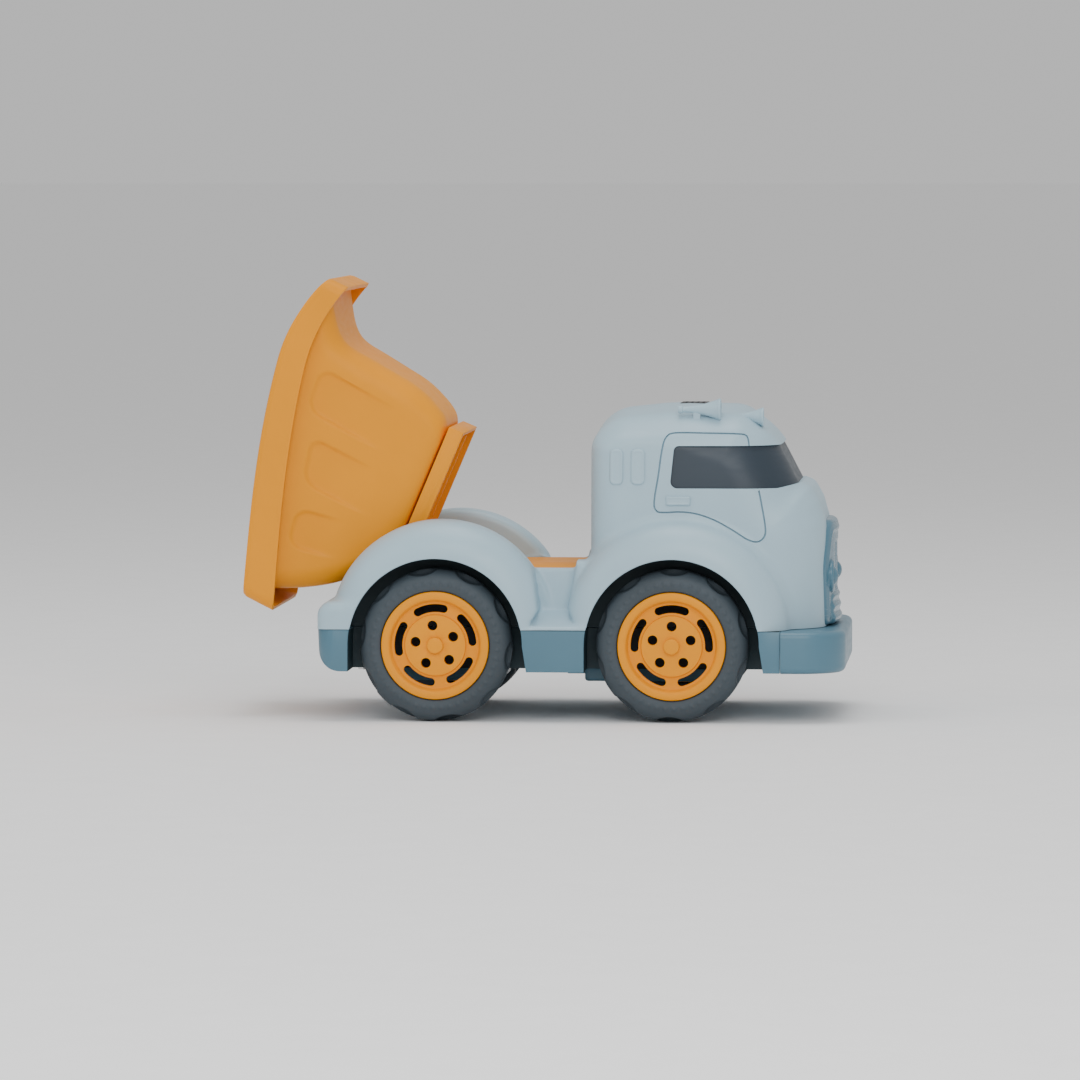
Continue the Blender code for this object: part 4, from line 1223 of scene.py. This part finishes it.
def make_hub(name, axle_x, side, phase_deg, node, materials):
    """A dished wheel disc with five curved slots and five round holes, and a deep barrel behind."""
    out = HUB_OUT
    profile = [
        (50.7, HUB_R - 0.3), (51.0, HUB_R),
        (out - 0.9, HUB_R), (out - 0.3, HUB_R - 0.3), (out, HUB_R - 0.9),
        (out, 23.8), (out - 0.3, 23.1), (out - 1.0, 22.6),
        (out - 3.4, 22.1), (out - 4.0, 21.7), (out - 4.2, 21.0),
        (out - 4.2, 16.2), (out - 3.9, 15.6), (out - 2.9, 15.3), (out - 2.5, 15.0), (out - 2.4, 14.4),
        (out - 2.4, 2.2), (53.0, 2.2), (53.0, 6.0), (68.6, 6.5), (68.6, 24.4), (50.7, 24.4),
    ]
    centre = (axle_x, 0.0, AXLE_Z)
    hub = turned(name, [(side * a, r) for a, r in profile], centre, "Y", 120, materials["yellow"])
    near, far = sorted((side * 66.0, side * 80.0))
    cutters = []
    for index in range(HUB_HOLES):
        angle = phase_deg + 360.0 / HUB_HOLES * index
        slot = slot_outline((axle_x, AXLE_Z), SLOT_R, SLOT_HALF, angle, SLOT_SPAN_DEG)
        cutters.append(prism("slot", slot, "Y", near, far))
        x = axle_x + HOLE_CIRCLE * math.cos(math.radians(angle))
        z = AXLE_Z + HOLE_CIRCLE * math.sin(math.radians(angle))
        cutters.append(prism("hole", arc((x, z), HOLE_R, 0.0, 345.0, 23), "Y", near, far))
    boolean(hub, cutters)
    bevelled(hub, 0.3, 2, 50.0)
    piece(hub, node.rsplit("_", 2)[0] + "_wheelset", "tipper_yellow", node)


def make_cap(name, axle_x, side, node, materials):
    """The round cap over an axle's end, with a soft outer edge."""
    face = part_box("rear_left_axle_cap")[1].y / MM
    edge = face - CAP_EDGE
    profile = [(73.9, 0.0), (73.9, 2.1), (73.3, 2.1), (73.3, CAP_R), (edge, CAP_R)]
    for turn in (0.4, 0.8, 1.2, 1.57):
        profile.append((edge + CAP_EDGE * math.sin(turn), CAP_R - CAP_EDGE + CAP_EDGE * math.cos(turn)))
    profile.append((face, 0.0))
    profile = [(side * along, radius) for along, radius in profile]
    cap = turned(name, profile, (axle_x, 0.0, AXLE_Z), "Y", 48, materials["yellow"])
    piece(cap, node.split("_")[0] + "_wheelset", "tipper_yellow", node)


def make_wheels(materials):
    for end, axle_x in WHEELS.items():
        for hand, side in SIDES.items():
            label = f"{end}_{hand}"
            make_tyre(f"tyre_{label}", axle_x, side, TYRE_PHASE[end], f"{label}_tyre", materials)
            make_hub(f"hub_{label}", axle_x, side, HUB_PHASE[end], f"{label}_hub", materials)
            make_cap(f"cap_{label}", axle_x, side, f"{label}_axle_cap", materials)


# ---------------------------------------------------------------- tipper


# Levels of the lowered bucket: front x and z, tail x and z, half width, corner and the side's bow.
BUCKET_LEVELS = [
    (30.0, 84.3, 8.0, 84.3, 20.0, 6.0, 0.0),
    (47.5, 84.3, -10.0, 84.3, 38.0, 9.0, 0.0),
    (53.6, 86.3, -17.0, 86.3, 41.4, 10.5, 0.0),
    (57.6, 91.0, -26.5, 91.5, 43.2, 11.5, 0.0),
    (61.4, 98.8, -37.4, 99.2, 44.4, 12.0, 0.0),
    (64.6, 107.7, -44.8, 107.7, 46.2, 12.0, 0.5),
    (66.4, 121.0, -52.6, 121.0, 48.8, 12.0, 2.5),
    (68.3, 134.3, -57.6, 133.0, 51.4, 12.0, 6.0),
    (69.6, 146.5, -60.6, 141.0, 53.0, 11.0, 11.0),
    (74.5, 153.6, -61.6, 143.4, 53.6, 10.0, 13.4),
    (84.0, 160.0, -62.0, 144.4, 53.9, 8.0, 13.6),
    (94.2, 166.0, -62.2, 144.6, 54.1, 5.0, 13.6),
    (95.9, 166.3, -64.0, 144.5, 56.0, 4.0, 13.6),
    (95.7, 164.4, -64.3, 142.6, 56.1, 4.0, 13.6),
    (95.4, 157.2, -65.2, 129.0, 56.4, 4.0, 11.8),
]
RIM_PEAK = 0.72
BUCKET_WALL = 2.0
# Panels pressed into each side of the lowered bucket: middle x and z of the top, half width, the
# height over which they fade, how far the middle leans forwards per millimetre down, and how much
# higher the top gets per millimetre forwards.
POCKETS = [
    (43.7, 153.2, 11.2, 46.0, -0.116, 0.05),
    (9.2, 142.6, 11.5, 38.0, -0.085, 0.21),
    (-24.9, 136.6, 9.7, 26.0, 0.12, 0.15),
]
POCKET_DEPTH = 1.7
POCKET_CORNER = 7.0
POCKET_FROM_Y = 36.0
RIM_ROWS = 24
RING_COUNTS = (112, 24, 112, 24)


def rim_bow(share):
    """Bow of the bucket's side between tail (0) and front (1), highest at RIM_PEAK."""
    rise = np.sin(np.minimum(share / RIM_PEAK, 1.0) * math.pi / 2)
    past = np.clip((share - RIM_PEAK) / (1 - RIM_PEAK), 0.0, 1.0)
    fall = np.maximum(0.0, np.cos(past * math.pi / 2)) ** 0.8
    return np.where(share < RIM_PEAK, rise, fall)


def bucket_ring(level):
    """One level as an even number of points: arcs at the corners and fine steps along the sides."""
    front_x, front_z, tail_x, tail_z, half, corner, bow = level
    spots = [
        (tail_x + corner, -half + corner, 180.0), (front_x - corner, -half + corner, 270.0),
        (front_x - corner, half - corner, 0.0), (tail_x + corner, half - corner, 90.0),
    ]
    arcs = [arc((x, y), corner, start, start + 90.0, 14) for x, y, start in spots]
    ring = []
    for i, count in enumerate(RING_COUNTS):
        ring += arcs[i]
        x0, y0 = arcs[i][-1]
        x1, y1 = arcs[(i + 1) % 4][0]
        ring += [(x0 + (x1 - x0) * t / count, y0 + (y1 - y0) * t / count) for t in range(1, count)]
    ring = np.array(ring)
    share = (ring[:, 0] - tail_x) / (front_x - tail_x)
    height = tail_z + (front_z - tail_z) * share + bow * rim_bow(share)
    return np.column_stack([ring, height])


def curve_rows(rows, steps):
    """A quadratic spline through the middles of the rows, from the first row to the last."""
    smoothed = [rows[0]]
    for i in range(1, len(rows) - 1):
        start = rows[0] if i == 1 else (rows[i - 1] + rows[i]) / 2
        end = rows[-1] if i == len(rows) - 2 else (rows[i] + rows[i + 1]) / 2
        span = np.linalg.norm(end - start, axis=1).max()
        count = max(2, min(steps, int(span / 0.9)))
        for k in range(1, count + 1):
            t = k / count
            smoothed.append((1 - t) ** 2 * start + 2 * t * (1 - t) * rows[i] + t * t * end)
    return smoothed


def pocket_depth(x, z):
    """How far each side is pressed in, over the whole side."""
    depth = np.zeros_like(x)
    corner = POCKET_CORNER
    for top_x, top_z, half, fade, lean, tilt in POCKETS:
        down = top_z + tilt * (x - top_x) - z
        away = np.abs(x - top_x - lean * down)
        reach = np.hypot(np.maximum(away - half + corner, 0.0), np.maximum(corner - down, 0.0)) - corner
        reach = np.maximum(reach, away - half)
        inside = smooth_step(-reach, -0.6, 1.1)
        depth = np.maximum(depth, POCKET_DEPTH * inside * (1.0 - smooth_step(down, fade * 0.35, fade)))
    return depth


def raised_points(points):
    """Turns points of the lowered tipper up to rest about the hinge pin."""
    angle = math.radians(RAISED_DEG)
    x, z = points[:, 0] - PIVOT[0], points[:, 2] - PIVOT[1]
    turned_x = x * math.cos(angle) - z * math.sin(angle)
    turned_z = x * math.sin(angle) + z * math.cos(angle)
    return np.column_stack([turned_x + PIVOT[0], points[:, 1], turned_z + PIVOT[1]])


def raise_object(obj):
    """The same turn for a finished mesh."""
    place = Vector((PIVOT[0] * MM + REAR_X, 0.0, PIVOT[1] * MM))
    turn = Matrix.Rotation(-math.radians(RAISED_DEG), 4, "Y")
    obj.data.transform(Matrix.Translation(place) @ turn @ Matrix.Translation(-place))
    return obj


def make_bucket(materials):
    """The open bucket: one skin with pressed side panels and a turned-down rim, given its wall."""
    rows = curve_rows([bucket_ring(level) for level in BUCKET_LEVELS], 14)
    skin = np.stack(rows)
    flat = 1.0 - smooth_step(np.abs(np.gradient(skin[..., 1], axis=1)), 0.02, 0.30)
    on_side = np.abs(skin[..., 1]) > POCKET_FROM_Y
    below_rim = (np.arange(len(rows)) < len(rows) - RIM_ROWS)[:, None]
    press = pocket_depth(skin[..., 0], skin[..., 2]) * flat * on_side * below_rim
    skin[..., 1] -= np.sign(skin[..., 1]) * press
    count = skin.shape[1]
    verts = raised_points(skin.reshape(-1, 3))
    faces = []
    for row in range(len(rows) - 1):
        a, b = row * count, (row + 1) * count
        for k in range(count):
            n = (k + 1) % count
            faces.append((a + k, a + n, b + n, b + k))
    faces.append(tuple(reversed(range(count))))
    bucket = mesh_object("bucket", verts, faces, materials["yellow"])
    recalculated(bucket)
    wall = bucket.modifiers.new("wall", "SOLIDIFY")
    wall.thickness = BUCKET_WALL * MM
    wall.offset = 1.0
    wall.use_even_offset = True
    applied(bucket)
    bevelled(bucket, 0.4, 2, 60.0)
    piece(bucket, "tipper", "tipper_yellow", "tipper_bucket", angle_deg=45.0)


BASE_LOW = 76.0
BASE_HIGH = 83.9
BASE_FRONT = 51.9
BASE_HALF = 41.0
BASE_WALL = 1.8
BASE_RIB_Y = (-14.0, 14.0)


def make_base(materials):
    """The bucket's underframe: a skirt open below, with two ribs and rounded edges."""
    x, z = PIVOT
    low, high, front, half = BASE_LOW, BASE_HIGH, BASE_FRONT, BASE_HALF
    outline = rounded([(x - 3.0, low, 3.0), (front, low), (front, high), (x - 3.0, high)])
    base = prism("underframe", outline, "Y", -half, half, materials["yellow"])
    near, far = (x + 3.6, -half + BASE_WALL, low - 5.0), (front - BASE_WALL, half - BASE_WALL, high - 2.1)
    room = box("base_room", near, far)
    boolean(base, [room])
    ribs = []
    for y in BASE_RIB_Y:
        ribs.append(box("rib", (x + 3.0, y - 0.9, low + 1.5), (front - 1.0, y + 0.9, high - 1.9)))
    boolean(base, ribs, "UNION")
    boolean(base, [turned("base_hole", PIN_BORE, (x, 0.0, z), "Y", 32)])
    bevelled(base, 0.45, 2)
    raise_object(base)
    piece(base, "tipper", "tipper_yellow", "tipper_base")


# ---------------------------------------------------------------- camera, light and floor


FLOOR_REACH = 60.0
WORLD_STRENGTH = 0.62
# Soft boxes: place and size in metres, and power in watts.
LAMPS = {
    "front": ((0.35, -1.9, 1.05), 1.3, 18.0),
    "left": ((-1.5, -1.1, 1.3), 1.0, 5.0),
    "top": ((0.1, -0.1, 1.9), 1.2, 14.0),
}
LAMP_TARGET = Vector((0.0, 0.0, 0.08))
FLOOR_DROP = 0.0002
# Camera: degrees, metres, and lens and sensor width in millimetres.
VIEW_AZIMUTH = 4.25
VIEW_ELEVATION = 3.16
VIEW_DISTANCE = 3.596
VIEW_TARGET = Vector((-0.0056, 0.0, 0.087))
VIEW_LENS = 235.6
VIEW_SENSOR = 36.0


def make_stage():
    """A plain pale floor, an even white surround and three soft boxes."""
    mesh = bpy.data.meshes.new("floor")
    reach = FLOOR_REACH
    corners = [(-reach, -reach, 0), (reach, -reach, 0), (reach, reach, 0), (-reach, reach, 0)]
    mesh.from_pydata(corners, [], [(0, 1, 2, 3)])
    floor = bpy.data.objects.new("floor", mesh)
    bpy.context.scene.collection.objects.link(floor)
    floor.location.z = -FLOOR_DROP
    material, tree, shader = new_material("floor_white")
    speckle = remap(tree, noise(tree, 40.0, 2.0), 0.0, 1.0)
    tint = shade_between(tree, speckle, (0.94, 0.94, 0.94), (0.96, 0.96, 0.96))
    tree.links.new(tint, shader.inputs["Base Color"])
    shader.inputs["Roughness"].default_value = 0.95
    mesh.materials.append(material)
    world = bpy.data.worlds.new("studio")
    bpy.context.scene.world = world
    world.use_nodes = True
    surround = world.node_tree.nodes["Background"]
    surround.inputs["Color"].default_value = (1.0, 1.0, 1.0, 1.0)
    surround.inputs["Strength"].default_value = WORLD_STRENGTH
    for name, (place, size, power) in LAMPS.items():
        light = bpy.data.lights.new(name, "AREA")
        light.size = size
        light.energy = power
        lamp = bpy.data.objects.new(name, light)
        lamp.location = place
        aim = LAMP_TARGET - Vector(place)
        lamp.rotation_euler = aim.to_track_quat("-Z", "Y").to_euler()
        bpy.context.scene.collection.objects.link(lamp)


def make_camera():
    """Almost square on to the truck's right side, from far off and a little above."""
    azimuth, elevation = math.radians(VIEW_AZIMUTH), math.radians(VIEW_ELEVATION)
    back = Vector((
        math.sin(azimuth) * math.cos(elevation),
        -math.cos(azimuth) * math.cos(elevation),
        math.sin(elevation),
    ))
    data = bpy.data.cameras.new("camera")
    data.sensor_width = VIEW_SENSOR
    data.lens = VIEW_LENS
    camera = bpy.data.objects.new("camera", data)
    camera.location = VIEW_TARGET + back * VIEW_DISTANCE
    camera.rotation_euler = (-back).to_track_quat("-Z", "Y").to_euler()
    data.clip_end = 60.0
    bpy.context.scene.collection.objects.link(camera)
    bpy.context.scene.camera = camera


MATERIALS = make_materials()
CAD_FINISH = {
    "shell_light_blue": "light", "tray_dark_blue": "dark", "grille_blue": "grille", "tipper_yellow": "yellow",
    "tyre_rubber": "rubber", "window_dark": "glass", "vent_black": "black", "steel": "steel",
}
for row in frame["record"]["subparts"]:
    node = frame["nodes"][row["node"]]
    node.data.materials.clear()
    node.data.materials.append(MATERIALS[CAD_FINISH[row["material_slot"]]])

SKIN = make_shell(MATERIALS)
make_well_shade_sheets(MATERIALS)
make_arch_lips(SKIN, MATERIALS)
make_side_details(SKIN, MATERIALS)
make_window(MATERIALS)
make_tray(MATERIALS)
make_bumper(MATERIALS)
make_under_parts(MATERIALS)
make_deck(MATERIALS)
make_hinge_ears(MATERIALS)
make_grille(MATERIALS)
for label, (start, length, flare) in HORNS.items():
    make_horn(f"horn_{label}", start, length, flare, f"{label}_horn", MATERIALS)
make_vent(MATERIALS)
make_wheels(MATERIALS)
make_bucket(MATERIALS)
make_base(MATERIALS)
make_stage()
make_camera()
